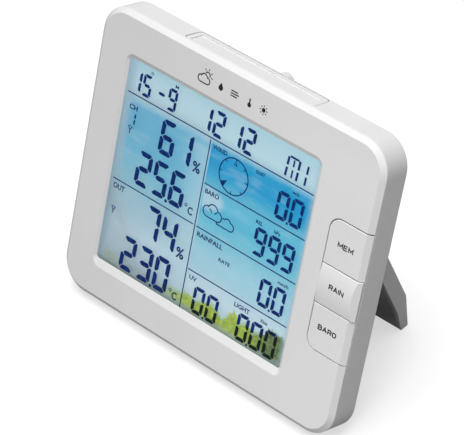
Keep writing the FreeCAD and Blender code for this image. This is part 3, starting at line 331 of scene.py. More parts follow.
def clear_acrylic():
    """The light guide: clear acrylic with a faint pattern of printed dots."""
    recipe = Recipe("clear_acrylic")
    dots = recipe.add(
        "ShaderNodeTexVoronoi", {"Vector": recipe.case_spot(), "Scale": 1.2, "Randomness": 0.1}
    ).outputs["Distance"]
    colour = recipe.mix(recipe.fade(dots, 0.3, 0.22), shade(214, 232, 236), shade(250, 250, 250))
    return recipe.finish(recipe.surface(Base_Color=colour, Roughness=0.08, Alpha=0.45))


def white_sheet():
    """Matt white reflector film."""
    recipe = Recipe("white_sheet")
    fibre = recipe.noise(recipe.spot(), 500.0, 4.0, (1.0, 0.2, 1.0))
    colour = recipe.mix(fibre, shade(228, 228, 226), shade(246, 246, 244))
    return recipe.finish(recipe.surface(
        Base_Color=colour, Roughness=0.8, Normal=recipe.bump(fibre, 0.1, 0.00002)
    ))


def circuit_board():
    """Green solder mask over copper tracks, with the tracks' square corners."""
    recipe = Recipe("circuit_board")
    spot = recipe.case_spot()
    tracks = recipe.add(
        "ShaderNodeTexVoronoi", {"Vector": spot, "Scale": 0.22}, distance="MANHATTAN",
    ).outputs["Distance"]
    lines = recipe.math("FRACT", recipe.math("MULTIPLY", tracks, 7.0))
    copper = recipe.fade(lines, 0.42, 0.5)
    colour = recipe.mix(copper, shade(18, 84, 48), shade(40, 122, 70))
    return recipe.finish(recipe.surface(
        Base_Color=colour, Roughness=0.35, Normal=recipe.bump(copper, 0.3, 0.00004)
    ))


def led_yellow():
    """White diodes: a yellow phosphor face in a pale body."""
    recipe = Recipe("led_yellow")
    speck = recipe.noise(recipe.spot(), 2200.0, 3.0)
    colour = recipe.mix(speck, shade(236, 200, 70), shade(248, 226, 130))
    return recipe.finish(recipe.surface(Base_Color=colour, Roughness=0.4))


def brushed_metal(name, dark, light, roughness, along):
    """Plated or rolled metal with fine scratches that run one way."""
    recipe = Recipe(name)
    scratches = recipe.noise(recipe.spot(), 900.0, 3.0, along)
    colour = recipe.mix(scratches, dark, light)
    gloss = recipe.math("MULTIPLY_ADD", scratches, 0.2, roughness - 0.1)
    return recipe.finish(recipe.surface(
        Base_Color=colour, Metallic=1.0, Roughness=gloss, Normal=recipe.bump(scratches, 0.15, 0.00002)
    ))


def studio_floor():
    """A plain pale sweep with a faint shadow. It is darker as a reflector than it looks."""
    recipe = Recipe("studio_floor")
    lit = recipe.add("ShaderNodeBsdfDiffuse", {"Color": (0.97, 0.97, 0.97, 1.0)}).outputs[0]
    glow = recipe.add("ShaderNodeEmission", {"Strength": 1.0}).outputs[0]
    pale = recipe.add("ShaderNodeMixShader", {0: 0.6, 1: lit, 2: glow}).outputs[0]
    bounce = recipe.add("ShaderNodeBsdfDiffuse", {"Color": (0.27, 0.27, 0.27, 1.0)}).outputs[0]
    direct = recipe.add("ShaderNodeLightPath").outputs["Is Camera Ray"]
    return recipe.finish(recipe.add("ShaderNodeMixShader", {0: direct, 1: bounce, 2: pale}).outputs[0])


finishes = {
    "case_white": moulded_plastic("case_white", shade(232, 232, 232), 0.42),
    "key_white": moulded_plastic("key_white", shade(232, 232, 232), 0.38, grain=0.0003),
    "key_grey": moulded_plastic("key_grey", shade(206, 207, 208), 0.45, grain=0.0003),
    # The stand is a touch darker grey than the case: painted shade for the stand, which sits in shadow behind the
    # case.
    "stand_white": moulded_plastic("stand_white", shade(226, 226, 226), 0.5, grain=0.0005, relief=0.35),
    "display_glass": display_glass(),
    "colour_film": printed_film(),
    "clear_acrylic": clear_acrylic(),
    "white_sheet": white_sheet(),
    "frame_white": moulded_plastic("frame_white", shade(224, 225, 222), 0.55),
    "circuit_board": circuit_board(),
    "led_yellow": led_yellow(),
    "part_black": moulded_plastic("part_black", shade(34, 34, 36), 0.5),
    "contact_metal": brushed_metal(
        "contact_metal", shade(176, 168, 150), shade(214, 206, 190), 0.3, (1.0, 0.1, 1.0)),
    "cell_steel": brushed_metal(
        "cell_steel", shade(170, 172, 174), shade(214, 216, 218), 0.28, (0.1, 1.0, 1.0)),
    "grey_rubber": moulded_plastic("grey_rubber", shade(120, 121, 123), 0.8, relief=0.5, specular=0.3),
    "screw_steel": brushed_metal(
        "screw_steel", shade(120, 122, 126), shade(186, 188, 192), 0.32, (1.0, 1.0, 0.2)),
}

for part in frame["record"]["subparts"]:
    mesh = frame["nodes"][part["node"]].data
    mesh.materials.clear()
    mesh.materials.append(finishes[part["material_slot"]])

crystal = liquid_crystal()
dark_ink = printing_ink("dark_ink", shade(24, 25, 27))
grey_ink = printing_ink("grey_ink", shade(112, 113, 116))


# ---------------------------------------------------------------- drawing on a face

def arc(x, y, radius, start, end, steps=10):
    """Points on an arc, with its angles in degrees."""
    turns = [math.radians(start + (end - start) * step / steps) for step in range(steps + 1)]
    return [(x + radius * math.cos(turn), y + radius * math.sin(turn)) for turn in turns]


def circle(x, y, radius, steps=24):
    return arc(x, y, radius, 0, 360, steps)[:-1]


LETTER_STEPS = 3
LETTER_GAIN = 0.022
WELD_DISTANCE = 0.002


class Ink:
    """Flat shapes in millimetres that become one thin closed piece on a face of the case."""

    def __init__(self):
        self.flat = bmesh.new()

    def shape(self, rim):
        self.flat.faces.new([self.flat.verts.new((x, y, 0)) for x, y in rim])

    def band(self, path, width, closed=False):
        """A stroke of one width, with mitred corners."""
        points = [Vector(point) for point in path]
        sides = []
        for index, here in enumerate(points):
            before = points[index - 1] if index or closed else None
            after = points[(index + 1) % len(points)] if index < len(points) - 1 or closed else None
            into = (here - before).normalized() if before else (after - here).normalized()
            away = (after - here).normalized() if after else into
            run = (into + away).normalized()
            reach = width / 2 / max(run.dot(into), 0.4)
            side = Vector((-run.y, run.x)) * reach
            sides.append([self.flat.verts.new((*(here + way * side), 0)) for way in (-1, 1)])
        last = len(sides) if closed else len(sides) - 1
        for index in range(last):
            low, high = sides[index], sides[(index + 1) % len(sides)]
            self.flat.faces.new((low[0], high[0], high[1], low[1]))

    def ring(self, x, y, radius, width):
        self.band(circle(x, y, radius), width, closed=True)

    def words(self, text, left, right, low, high):
        """Plain lettering, fitted to a box."""
        curve = bpy.data.curves.new("lettering", "FONT")
        curve.body = text
        curve.resolution_u = LETTER_STEPS
        curve.offset = LETTER_GAIN
        writing = bpy.data.objects.new("lettering", curve)
        scene.collection.objects.link(writing)
        seen = writing.evaluated_get(bpy.context.evaluated_depsgraph_get())
        mesh = bpy.data.meshes.new_from_object(seen)
        xs = [vertex.co.x for vertex in mesh.vertices]
        ys = [vertex.co.y for vertex in mesh.vertices]
        wide, tall = (right - left) / (max(xs) - min(xs)), (high - low) / (max(ys) - min(ys))
        mesh.transform(
            Matrix.Translation((left - wide * min(xs), low - tall * min(ys), 0))
            @ Matrix.Diagonal((wide, tall, 0, 1))
        )
        self.flat.from_mesh(mesh)
        bpy.data.objects.remove(writing)
        bpy.data.curves.remove(curve)
        bpy.data.meshes.remove(mesh)

    def finish(self, name, body, slot, material, face, proud, thickness):
        """Thickens the shapes and puts them on the face, with their top standing out by proud."""
        drawing = self.flat
        bmesh.ops.remove_doubles(drawing, verts=drawing.verts, dist=WELD_DISTANCE)
        grown = bmesh.ops.extrude_face_region(drawing, geom=drawing.faces[:], use_keep_orig=True)
        for vertex in (part for part in grown["geom"] if isinstance(part, bmesh.types.BMVert)):
            vertex.co.z = thickness
        for vertex in drawing.verts:
            vertex.co = face(vertex.co.x, vertex.co.y, proud - thickness + vertex.co.z)
        bmesh.ops.recalc_face_normals(drawing, faces=drawing.faces)
        mesh = bpy.data.meshes.new(name)
        drawing.to_mesh(mesh)
        drawing.free()
        as_piece(name, mesh, body, material)


def as_piece(name, mesh, body, material):
    """Hangs a finished mesh on a body of the case."""
    mesh.materials.clear()
    mesh.materials.append(material)
    piece = bpy.data.objects.new(name, mesh)
    scene.collection.objects.link(piece)
    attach(piece, body)
    return piece


# ---------------------------------------------------------------- what the display shows

SEGMENTS = {
    "0": "abcdef", "1": "bc", "2": "abged", "3": "abgcd", "4": "fgbc", "5": "afgcd",
    "6": "afgedc", "7": "abc", "8": "abcdefg", "9": "abcdfg",
}
SLANT = math.tan(math.radians(1.8))


def segment_rims(wide, tall, stroke):
    """The seven segments of a figure in a cell of this size, mitred with a small gap."""
    gap = 0.055 * stroke + 0.06
    cut = 0.7 * stroke
    middle = tall / 2
    half = stroke / 2

    def flipped(rim):
        return [(x, tall - y) for x, y in reversed(rim)]

    def mirrored(rim):
        return [(wide - x, y) for x, y in reversed(rim)]

    top = [
        (cut / 2 + gap, tall - cut / 2), (stroke + gap, tall - stroke),
        (wide - stroke - gap, tall - stroke), (wide - cut / 2 - gap, tall - cut / 2),
        (wide - cut - gap / 2, tall), (cut + gap / 2, tall),
    ]
    upper_left = [
        (0, tall - cut - gap / 2), (0, middle + half * 0.5 + gap), (half * 0.7, middle + gap),
        (stroke, middle + half + gap), (stroke, tall - stroke - gap), (cut / 2, tall - cut / 2 - gap),
    ]
    bar = [
        (half + gap, middle), (stroke + gap, middle - half), (wide - stroke - gap, middle - half),
        (wide - half - gap, middle), (wide - stroke - gap, middle + half), (stroke + gap, middle + half),
    ]
    return {
        "a": top, "b": mirrored(upper_left), "c": mirrored(flipped(upper_left)), "d": flipped(top),
        "e": flipped(upper_left), "f": upper_left, "g": bar,
    }


def figures(ink, text, right, low, wide, tall, stroke, pitch):
    """A row of seven-segment figures that ends at right. A dot takes no room of its own."""
    rims = segment_rims(wide, tall, stroke)
    left = right - wide - pitch * (len(text.replace(".", "")) - 1)
    for character in text:
        if character == ".":
            dot = circle(left - (pitch - wide) / 2, low + 0.1 * stroke, 0.34 * stroke, 10)
            ink.shape(dot)
            continue
        for letter in SEGMENTS[character]:
            ink.shape([(left + x + SLANT * (y - tall / 2), low + y) for x, y in rims[letter]])
        left += pitch


# width, height, stroke and pitch of a figure
LARGE = (7.0, 13.2, 1.85, 8.2)
MEDIUM = (5.45, 10.35, 1.4, 6.42)
TIME = (5.1, 9.6, 1.35, 6.0)
DATE = (4.2, 8.3, 1.15, 4.8)
CHANNEL = (2.6, 5.0, 0.75, 3.0)

# text, right end, lower edge
LARGE_FIGURES = (("61", 48.2, 65.8), ("25.6", 48.2, 50.0), ("74", 48.2, 32.4), ("23.0", 48.0, 16.4))
MEDIUM_FIGURES = (
    ("0.0", 99.7, 66.7), ("999", 99.7, 49.8), ("0.0", 99.6, 33.1),
    ("0.0", 72.1, 16.3), ("0.00", 99.5, 16.3),
)
TIME_FIGURES = (("12", 60.3, 82.4), ("12", 74.4, 82.4))
DATE_FIGURES = (("15", 25.5, 82.5), ("9", 37.7, 82.5))
CHANNEL_FIGURES = (("1", 20.8, 70.0),)
FIGURE_ROWS = (
    (LARGE_FIGURES, LARGE), (MEDIUM_FIGURES, MEDIUM), (TIME_FIGURES, TIME), (DATE_FIGURES, DATE),
    (CHANNEL_FIGURES, CHANNEL),
)
DATE_DASH = ((28.9, 86.65), (29.5, 86.1), (31.5, 86.1), (32.1, 86.65), (31.5, 87.2), (29.5, 87.2))

# the two letters of the weekday: the ends of each stroke, and its width
WEEKDAY_STROKES = (
    ((89.4, 90.0), (89.2, 86.9), 0.95), ((89.2, 86.0), (89.0, 82.8), 0.95),
    ((89.9, 90.2), (93.8, 90.2), 0.75), ((94.3, 90.2), (94.15, 86.9), 0.95),
    ((94.1, 86.0), (93.9, 82.8), 0.95), ((91.9, 89.6), (91.85, 87.0), 0.7),
    ((91.8, 85.8), (91.7, 82.9), 0.7), ((98.0, 90.0), (97.9, 87.0), 0.85),
    ((97.8, 85.9), (97.7, 82.9), 0.85),
)

# text, left, right, low, high
DISPLAY_WORDS = (
    ("CH", 17.1, 21.0, 75.6, 77.6), ("OUT", 15.9, 21.4, 44.3, 46.4), ("WIND", 56.8, 63.5, 78.0, 79.7),
    ("GUST", 76.8, 81.0, 78.0, 79.3), ("m/s", 93.7, 96.5, 78.0, 79.3), ("BARO", 57.0, 63.5, 61.2, 63.0),
    ("REL", 81.0, 84.0, 61.0, 62.3), ("hPa", 89.3, 92.0, 61.0, 62.3),
    ("RAINFALL", 57.0, 69.0, 44.5, 46.3), ("RATE", 68.3, 73.5, 40.1, 41.4),
    ("mm/h", 95.0, 99.8, 44.5, 45.8), ("UV", 57.1, 60.5, 27.7, 29.4), ("LIGHT", 78.7, 85.8, 27.7, 29.4),
    ("Klux", 91.2, 94.3, 27.6, 28.9), ("%", 49.5, 53.1, 66.1, 70.3), ("%", 49.2, 52.9, 32.6, 36.8),
    ("C", 50.9, 53.2, 50.2, 53.2), ("C", 50.8, 53.1, 16.6, 19.6), ("D", 24.4, 25.5, 91.5, 92.6),
    ("M", 36.0, 37.5, 91.5, 92.6), ("N", 67.3, 68.5, 76.2, 77.6),
)

# the ruled lines between the cells: ends as (x, y)
RULES = (
    ((15.3, 81.4), (102.5, 81.4)), ((55.3, 15.2), (55.3, 80.6)), ((56.0, 64.5), (102.4, 64.5)),
    ((15.3, 47.8), (54.4, 47.8)), ((56.1, 47.8), (102.4, 47.8)), ((55.8, 31.1), (102.4, 31.1)),
)
RULE_WIDTH = 0.42
COMPASS = (67.9, 72.3)
COMPASS_RADIUS = 6.6
COMPASS_LINE = 0.44
COMPASS_POINTER = ((62.75, 68.6), (64.2, 67.05), (65.5, 69.9))
DEGREE_SIGNS = ((49.8, 53.1), (49.7, 19.5))
ANTENNAS = ((19.0, 66.6, 69.5), (17.7, 34.6, 37.4))  # x, foot and top
DISPLAY_DEPTH = -1.94
CRYSTAL_THICKNESS = 0.04


def cloud_rim(x, y, size):
    """The outline of a cloud with three lobes on a flat base, size across."""
    lobes = ((-0.27, -0.02, 0.235, 270, 80), (0.0, 0.1, 0.265, 165, 20), (0.29, -0.04, 0.215, 100, -90))
    rim = []
    for lobe_x, lobe_y, radius, start, end in lobes:
        rim += arc(x + lobe_x * size, y + lobe_y * size, radius * size, start, end, 8)
    return rim


def antenna(ink, x, low, high):
    """A small receiver aerial: a stem with a forked top."""
    fork = low + 0.45 * (high - low)
    ink.band([(x, low), (x, fork - 0.15)], 0.35)
    ink.band([(x - 1.0, high), (x, fork), (x + 1.0, high)], 0.35)
    ink.band([(x - 0.55, high), (x + 0.55, high)], 0.3)


def cloudy_symbol(ink):
    """The forecast: one cloud in front of another."""
    line = 0.42
    ink.band(cloud_rim(61.9, 55.5, 8.6), line, closed=True)
    behind = [(66.5, 55.7), (67.3, 55.9)] + arc(69.0, 54.9, 1.6, 140, 25, 6)
    behind += arc(70.7, 54.05, 1.45, 70, -90, 8) + [(64.4, 52.6), (64.4, 53.2)]
    ink.band(behind, line)
    ink.band(arc(60.2, 55.3, 1.25, 85, 5, 5), line)
    ink.band(arc(64.3, 55.2, 1.35, 105, 165, 5), line)


def display_figures():
    """All lit segments, in one piece between the two glasses."""
    ink = Ink()
    for row, size in FIGURE_ROWS:
        for text, right, low in row:
            figures(ink, text, right, low, *size)
    ink.shape(DATE_DASH)
    for start, end, width in WEEKDAY_STROKES:
        ink.band([start, end], width)
    ink.finish(
        "display_figures", "console", "display_glass", crystal, front_face, DISPLAY_DEPTH, CRYSTAL_THICKNESS)


def display_legends():
    """The words, symbols and ruled lines that are always there."""
    ink = Ink()
    for text, left, right, low, high in DISPLAY_WORDS:
        ink.words(text, left, right, low, high)
    for rule in RULES:
        ink.band(rule, RULE_WIDTH)
    for sign in DEGREE_SIGNS:
        ink.ring(*sign, 0.5, 0.3)
    ink.ring(*COMPASS, COMPASS_RADIUS, COMPASS_LINE)
    for place in ANTENNAS:
        antenna(ink, *place)
    ink.shape(COMPASS_POINTER)
    cloudy_symbol(ink)
    ink.finish(
        "display_legends", "console", "display_glass", crystal, front_face, DISPLAY_DEPTH, CRYSTAL_THICKNESS)


# ---------------------------------------------------------------- shapes that repeat

def new_tree(name, inputs):
    """An empty geometry tree. inputs are (name, socket kind, value)."""
    tree = bpy.data.node_groups.new(name, "GeometryNodeTree")
    tree.interface.new_socket("Geometry", in_out="INPUT", socket_type="NodeSocketGeometry")
    for label, kind, value in inputs:
        socket = tree.interface.new_socket(label, in_out="INPUT", socket_type=kind)
        if value is not None:
            socket.default_value = value
    tree.interface.new_socket("Geometry", in_out="OUTPUT", socket_type="NodeSocketGeometry")
    return tree


def close_tree(tree, geometry, material):
    """Every tree ends alike: instances made real, then the material."""
    real = add_node(tree, "GeometryNodeRealizeInstances", {"Geometry": geometry})
    dressed = add_node(
        tree, "GeometryNodeSetMaterial", {"Geometry": real.outputs[0], "Material": material})
    add_node(tree, "NodeGroupOutput", {0: dressed.outputs[0]})


def grown_mesh(tree, places, values):
    """Runs a tree on some points and returns the plain mesh that it makes."""
    seeds = bpy.data.meshes.new("seeds")
    seeds.from_pydata(places, [], [])
    holder = bpy.data.objects.new("seeds", seeds)
    scene.collection.objects.link(holder)
    modifier = holder.modifiers.new("shape", "NODES")
    modifier.node_group = tree
    for socket in tree.interface.items_tree:
        if socket.in_out == "INPUT" and socket.name in values:
            modifier[socket.identifier] = values[socket.name]
    bpy.context.view_layer.update()
    seen = holder.evaluated_get(bpy.context.evaluated_depsgraph_get())
    mesh = bpy.data.meshes.new_from_object(seen)
    holder.modifiers.remove(modifier)
    bpy.data.objects.remove(holder)
    return mesh


def spoke_ring_tree():
    """Short bars that point at one centre, such as compass marks or the rays of a sun."""
    tree = new_tree("spoke_ring", (
        ("Count", "NodeSocketInt", 8), ("Radius", "NodeSocketFloat", 0.005),
        ("Length", "NodeSocketFloat", 0.001), ("Width", "NodeSocketFloat", 0.0003),
        ("Thickness", "NodeSocketFloat", 0.00004), ("Material", "NodeSocketMaterial", None),
    ))
    given = add_node(tree, "NodeGroupInput").outputs
    ring = add_node(
        tree, "GeometryNodeMeshCircle", {"Vertices": given["Count"], "Radius": given["Radius"]})
    size = add_node(
        tree, "ShaderNodeCombineXYZ",
        {"X": given["Length"], "Y": given["Width"], "Z": given["Thickness"]})
    bar = add_node(tree, "GeometryNodeMeshCube", {"Size": size.outputs[0]})
    turn = add_node(
        tree, "FunctionNodeAlignRotationToVector",
        {"Vector": add_node(tree, "GeometryNodeInputPosition").outputs[0]}, axis="X")
    bars = add_node(tree, "GeometryNodeInstanceOnPoints", {
        "Points": ring.outputs[0], "Instance": bar.outputs[0], "Rotation": turn.outputs[0]})
    close_tree(tree, bars.outputs[0], given["Material"])
    return tree


def cross_screw_tree():
    """Self-tapping screws with a cross recess, each turned its own way. Z is the way the head looks."""
    tree = new_tree("cross_screws", (
        ("Head Radius", "NodeSocketFloat", 0.0021), ("Head Height", "NodeSocketFloat", 0.0012),
        ("Shank Radius", "NodeSocketFloat", 0.001), ("Shank Length", "NodeSocketFloat", 0.005),
        ("Tilt", "NodeSocketFloat", 0.0), ("Seed", "NodeSocketInt", 3),
        ("Material", "NodeSocketMaterial", None),
    ))
    given = add_node(tree, "NodeGroupInput").outputs

    def times(value, factor):
        return add_node(tree, "ShaderNodeMath", {0: value, 1: factor}, operation="MULTIPLY").outputs[0]

    def lifted(geometry, height):
        along = add_node(tree, "ShaderNodeCombineXYZ", {"Z": height}).outputs[0]
        return add_node(
            tree, "GeometryNodeTransform", {"Geometry": geometry, "Translation": along}).outputs[0]

    rim = add_node(tree, "GeometryNodeMeshCone", {
        "Vertices": 28, "Radius Top": times(given["Head Radius"], 0.78),
        "Radius Bottom": given["Head Radius"], "Depth": given["Head Height"]}).outputs[0]
    slots = []
    for long, short in ((1.15, 0.26), (0.26, 1.15)):
        size = add_node(tree, "ShaderNodeCombineXYZ", {
            "X": times(given["Head Radius"], long), "Y": times(given["Head Radius"], short),
            "Z": given["Head Height"]}).outputs[0]
        slot = add_node(tree, "GeometryNodeMeshCube", {"Size": size}).outputs[0]
        slots.append(lifted(slot, times(given["Head Height"], 0.9)))
    head = rim
    for slot in slots:
        head = add_node(
            tree, "GeometryNodeMeshBoolean", {"Mesh 1": head, "Mesh 2": slot}, operation="DIFFERENCE"
        ).outputs[0]
    shank = add_node(tree, "GeometryNodeMeshCylinder", {
        "Vertices": 16, "Radius": given["Shank Radius"], "Depth": given["Shank Length"]}).outputs[0]
    shank = lifted(shank, times(given["Shank Length"], -0.5))
    screw = add_node(tree, "GeometryNodeJoinGeometry")
    tree.links.new(head, screw.inputs[0])
    tree.links.new(shank, screw.inputs[0])
    spin = add_node(
        tree, "FunctionNodeRandomValue",
        {"Min": 0.0, "Max": math.pi, "Seed": given["Seed"]}, data_type="FLOAT")
    turned = add_node(tree, "ShaderNodeCombineXYZ", {"X": given["Tilt"]}).outputs[0]
    placed = add_node(tree, "GeometryNodeInstanceOnPoints", {
        "Points": given["Geometry"], "Instance": screw.outputs[0], "Rotation": turned})
    twist = add_node(tree, "ShaderNodeCombineXYZ", {"Z": [s for s in spin.outputs if s.enabled][0]})
    spun = add_node(tree, "GeometryNodeRotateInstances", {
        "Instances": placed.outputs[0], "Rotation": twist.outputs[0], "Local Space": True})
    close_tree(tree, spun.outputs[0], given["Material"])
    return tree


spokes = spoke_ring_tree()
screws = cross_screw_tree()


def on_front(x, y, out):
    """The matrix that lays a flat mesh on the front face, facing out."""
    turn = Matrix((ACROSS, UP, -BACK)).transposed().to_4x4()
    return Matrix.Translation(front_face(x, y, out)) @ turn


def compass_marks():
    """Eight marks inside the ring of the wind compass."""
    length = 1.0
    mesh = grown_mesh(spokes, [(0, 0, 0)], {
        "Count": 8, "Radius": (COMPASS_RADIUS - 0.2 - length / 2) * MM, "Length": length * MM,
        "Width": 0.32 * MM, "Thickness": CRYSTAL_THICKNESS * MM, "Material": crystal})
    mesh.transform(on_front(*COMPASS, DISPLAY_DEPTH - CRYSTAL_THICKNESS / 2))
    as_piece("compass_marks", mesh, "console", crystal)


def case_screws():
    """Four cross-head screws at the bottom of their wells in the back."""
    seat, head_height, shank = 8.5, 1.3, 5.6
    columns, rows = (-57.0, 57.0), (8.0, 102.6)
    places = [console(x, seat + head_height / 2, z) for x in columns for z in rows]
    mesh = grown_mesh(screws, places, {
        "Head Radius": 2.1 * MM, "Head Height": head_height * MM, "Shank Radius": 0.95 * MM,
        "Shank Length": shank * MM, "Tilt": -math.pi / 2 - LEAN, "Seed": 5,
        "Material": finishes["screw_steel"]})
    piece = as_piece("cross_head_screws", mesh, "console", finishes["screw_steel"])
    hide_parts("case_screws")


# ---------------------------------------------------------------- printing on the case

PRINT_PROUD = 0.03
PRINT_THICKNESS = 0.05
FINE_LINE = 0.42
LETTER_SPACE = 0.42

# text, key, left, right, low, high
KEY_LABELS = (
    ("MEM", "memory_key", 117.6, 124.0, 70.2, 71.8), ("RAIN", "rain_key", 118.1, 124.2, 54.7, 56.3),
    ("BARO", "baro_key", 116.6, 124.3, 38.7, 40.3),
)

# the strokes of each letter, in a cell one wide and one tall
LETTER_STROKES = {
    "A": (((0, 0), (0.5, 1), (1, 0)), ((0.2, 0.33), (0.8, 0.33))),
    "B": (((0, 0.52), (0.75, 0.52), (0.93, 0.65), (0.93, 0.87), (0.75, 1), (0, 1), (0, 0), (0.78, 0),
           (1, 0.14), (1, 0.38), (0.78, 0.52)),),
    "E": (((1, 1), (0, 1), (0, 0), (1, 0)), ((0, 0.52), (0.9, 0.52))),
    "I": (((0, 0), (0, 1)),),
    "M": (((0, 0), (0, 1), (0.5, 0.3), (1, 1), (1, 0)),),
    "N": (((0, 0), (0, 1), (1, 0), (1, 1)),),
    "O": (((0.5, 0), (0.85, 0.07), (1, 0.3), (1, 0.7), (0.85, 0.93), (0.5, 1), (0.15, 0.93), (0, 0.7),
           (0, 0.3), (0.15, 0.07), (0.5, 0)),),
    "R": (((0, 0), (0, 1), (0.78, 1), (1, 0.86), (1, 0.62), (0.78, 0.48), (0, 0.48)),
          ((0.6, 0.48), (1, 0))),
}
LETTER_WIDTHS = {"A": 1.1, "I": 0.0, "M": 1.2}
PLAIN_LETTER_WIDTH = 0.95


def key_label(text, key, left, right, low, high):
    """A word printed on a front key, which follows the key's own surface."""
    ink = Ink()
    widths = [LETTER_WIDTHS.get(letter, PLAIN_LETTER_WIDTH) for letter in text]
    unit = (right - left) / (sum(widths) + LETTER_SPACE * (len(text) - 1))
    for letter, width in zip(text, widths):
        for stroke in LETTER_STROKES[letter]:
            ink.band([(left + x * width * unit, low + y * (high - low)) for x, y in stroke], FINE_LINE)
        left += (width + LETTER_SPACE) * unit
    ink.finish(
        key + "_print", key, "key_white", dark_ink, laid_on(key), PRINT_PROUD, PRINT_THICKNESS)


def cloud_and_sun(ink, x, y):
    """The larger symbol on the bezel: a cloud with half a sun behind it."""
    ink.band(cloud_rim(x, y - 0.5, 5.4), FINE_LINE, closed=True)
    ink.band(arc(x + 1.3, y + 1.35, 1.15, 150, -20, 8), FINE_LINE)
    for turn in (125, 80, 35, -10):
        rise = math.radians(turn)
        ink.band([
            (x + 1.3 + r * math.cos(rise), y + 1.35 + r * math.sin(rise)) for r in (1.75, 2.45)], 0.36)


def rain_drop(ink, x, y):
    ink.shape([(x, y + 1.5)] + arc(x, y - 0.4, 1.0, 150, 390, 14))


def wind_lines(ink, x, y):
    for shift, reach in ((0.9, 1.3), (0.0, 1.8), (-0.9, 1.1)):
        ink.band([(x - 1.8, y + shift), (x + reach, y + shift)], FINE_LINE)


def thermometer(ink, x, y):
    ink.band([(x, y + 1.5), (x, y - 0.5)], 0.6)
    ink.shape(circle(x, y - 0.9, 0.8, 16))


def sun_disc(ink, x, y):
    ink.shape(circle(x, y, 0.8, 18))


BEZEL_ROW = 101.6
SUN_X = 76.6
BEZEL_SYMBOLS = (
    (cloud_and_sun, 49.2), (rain_drop, 57.0), (wind_lines, 63.4), (thermometer, 70.2),
    (sun_disc, SUN_X),
)


def bezel_symbols():
    """Plain weather symbols in a row above the display."""
    ink = Ink()
    for draw, x in BEZEL_SYMBOLS:
        draw(ink, x, BEZEL_ROW)
    ink.finish(
        "bezel_symbols", "console", "case_white", dark_ink, laid_on("front_bezel"),
        PRINT_PROUD, PRINT_THICKNESS)
    rays = grown_mesh(spokes, [(0, 0, 0)], {
        "Count": 8, "Radius": 1.45 * MM, "Length": 0.6 * MM, "Width": 0.34 * MM,
        "Thickness": PRINT_THICKNESS * MM, "Material": dark_ink})
    rays.transform(on_front(SUN_X, BEZEL_ROW, PRINT_PROUD - PRINT_THICKNESS / 2))
    as_piece("sun_rays", rays, "console", dark_ink)


REAR_KEY_PLACES = {"clock_key": 39.0, "alarm_key": 27.5, "up_key": 16.0, "down_key": 4.5}
REAR_SYMBOL_ROW = 87.1


def rear_symbols():
    """Grey symbols below the rear keys, beside the slide switch and round the battery cap."""
    ink = Ink()
    row = REAR_SYMBOL_ROW
    x = REAR_KEY_PLACES["clock_key"]
    ink.ring(x, row, 1.1, 0.28)
    ink.band([(x, row + 0.75), (x, row), (x + 0.55, row)], 0.24)
    x = REAR_KEY_PLACES["alarm_key"]
    bell = [(x - 1.1, row - 0.7), (x - 0.8, row - 0.3)] + arc(x, row + 0.35, 0.75, 180, 0, 8)
    ink.shape((bell + [(x + 0.8, row - 0.3), (x + 1.1, row - 0.7)])[::-1])
    ink.shape(circle(x, row - 1.1, 0.26, 10))
    for key, way in (("up_key", 1), ("down_key", -1)):
        x = REAR_KEY_PLACES[key]
        ink.shape([(x - 1.1, row - 0.75 * way), (x + 1.1, row - 0.75 * way), (x, row + 0.85 * way)][::way])
    switch_x, switch_row = 30.0, 73.4
    ink.words("0", switch_x - 3.0, switch_x - 1.8, switch_row - 0.9, switch_row + 0.9)
    ink.words("1", switch_x + 1.9, switch_x + 2.7, switch_row - 0.9, switch_row + 0.9)
    cap_x, cap_row, mark = -33.0, 84.8, 14.4
    for turn, closed in ((-90, True), (-45, False)):
        rise = math.radians(turn)
        spot = (cap_x + mark * math.cos(rise), cap_row + mark * math.sin(rise))
        if closed:
            ink.shape(circle(*spot, 0.55, 14))
        else:
            ink.ring(*spot, 0.45, 0.22)
    ink.finish(
        "rear_symbols", "console", "case_white", grey_ink, rear_face, PRINT_PROUD, PRINT_THICKNESS)


display_figures()
display_legends()
compass_marks()
for label in KEY_LABELS:
    key_label(*label)
bezel_symbols()
rear_symbols()
case_screws()


# ---------------------------------------------------------------- floor, light and camera

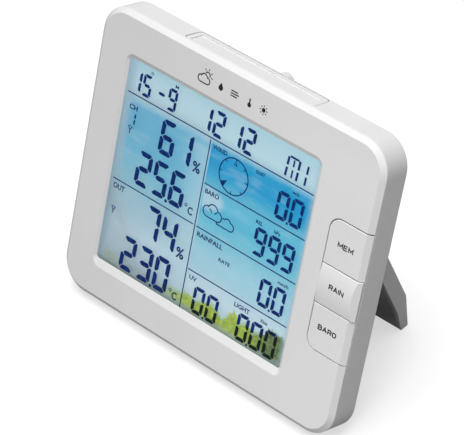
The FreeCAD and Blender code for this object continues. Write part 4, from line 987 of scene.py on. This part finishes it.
def make_floor():
    """A wide plain floor, which stays level to the horizon."""
    reach = 30.0
    mesh = bpy.data.meshes.new("floor")
    corners = [(-reach, -reach, 0), (reach, -reach, 0), (reach, reach, 0), (-reach, reach, 0)]
    mesh.from_pydata(corners, [], [(0, 1, 2, 3)])
    mesh.materials.append(studio_floor())
    floor = bpy.data.objects.new("floor", mesh)
    scene.collection.objects.link(floor)


def add_light(name, kind, energy, place, target, **settings):
    light = bpy.data.lights.new(name, kind)
    light.energy = energy
    for setting, value in settings.items():
        setattr(light, setting, value)
    lamp = bpy.data.objects.new(name, light)
    lamp.location = place
    lamp.rotation_euler = (Vector(target) - Vector(place)).to_track_quat("-Z", "Y").to_euler()
    scene.collection.objects.link(lamp)


def make_world(ambient, seen):
    """Even studio light from all round, with a bright plain backdrop for the camera."""
    world = bpy.data.worlds.new("studio")
    world.use_nodes = True
    nodes, links = world.node_tree.nodes, world.node_tree.links
    path = nodes.new("ShaderNodeLightPath")
    level = nodes.new("ShaderNodeMapRange")
    level.inputs["To Min"].default_value = ambient
    level.inputs["To Max"].default_value = seen
    links.new(path.outputs["Is Camera Ray"], level.inputs["Value"])
    links.new(level.outputs[0], nodes["Background"].inputs["Strength"])
    nodes["Background"].inputs["Color"].default_value = (1, 1, 1, 1)
    scene.world = world


def make_camera():
    """A long lens from the front right, looking down on the display."""
    camera = bpy.data.cameras.new("camera")
    camera.sensor_fit = "HORIZONTAL"
    camera.sensor_width = 36.0
    camera.lens = 226.68
    camera.clip_start = 0.01
    place = Vector((0.55194, -0.48732, 0.72449))
    target = Vector((0.00014, -0.00366, 0.05001))
    roll = Quaternion((0, 0, 1), math.radians(-7.37))
    viewer = bpy.data.objects.new("camera", camera)
    viewer.location = place
    viewer.rotation_euler = ((target - place).to_track_quat("-Z", "Y") @ roll).to_euler()
    scene.collection.objects.link(viewer)
    scene.camera = viewer


make_floor()
make_world(ambient=0.13, seen=1.0)
overhead = math.radians(50)
add_light("overhead", "SUN", 3.35, (-0.04, -0.01, 1.0), (0, 0, 0), angle=overhead)
add_light("front_fill", "AREA", 0.26, (0.14, -0.26, 0.19), (0.05, 0, 0.05), size=0.12)
make_camera()
scene.view_settings.view_transform = "Standard"
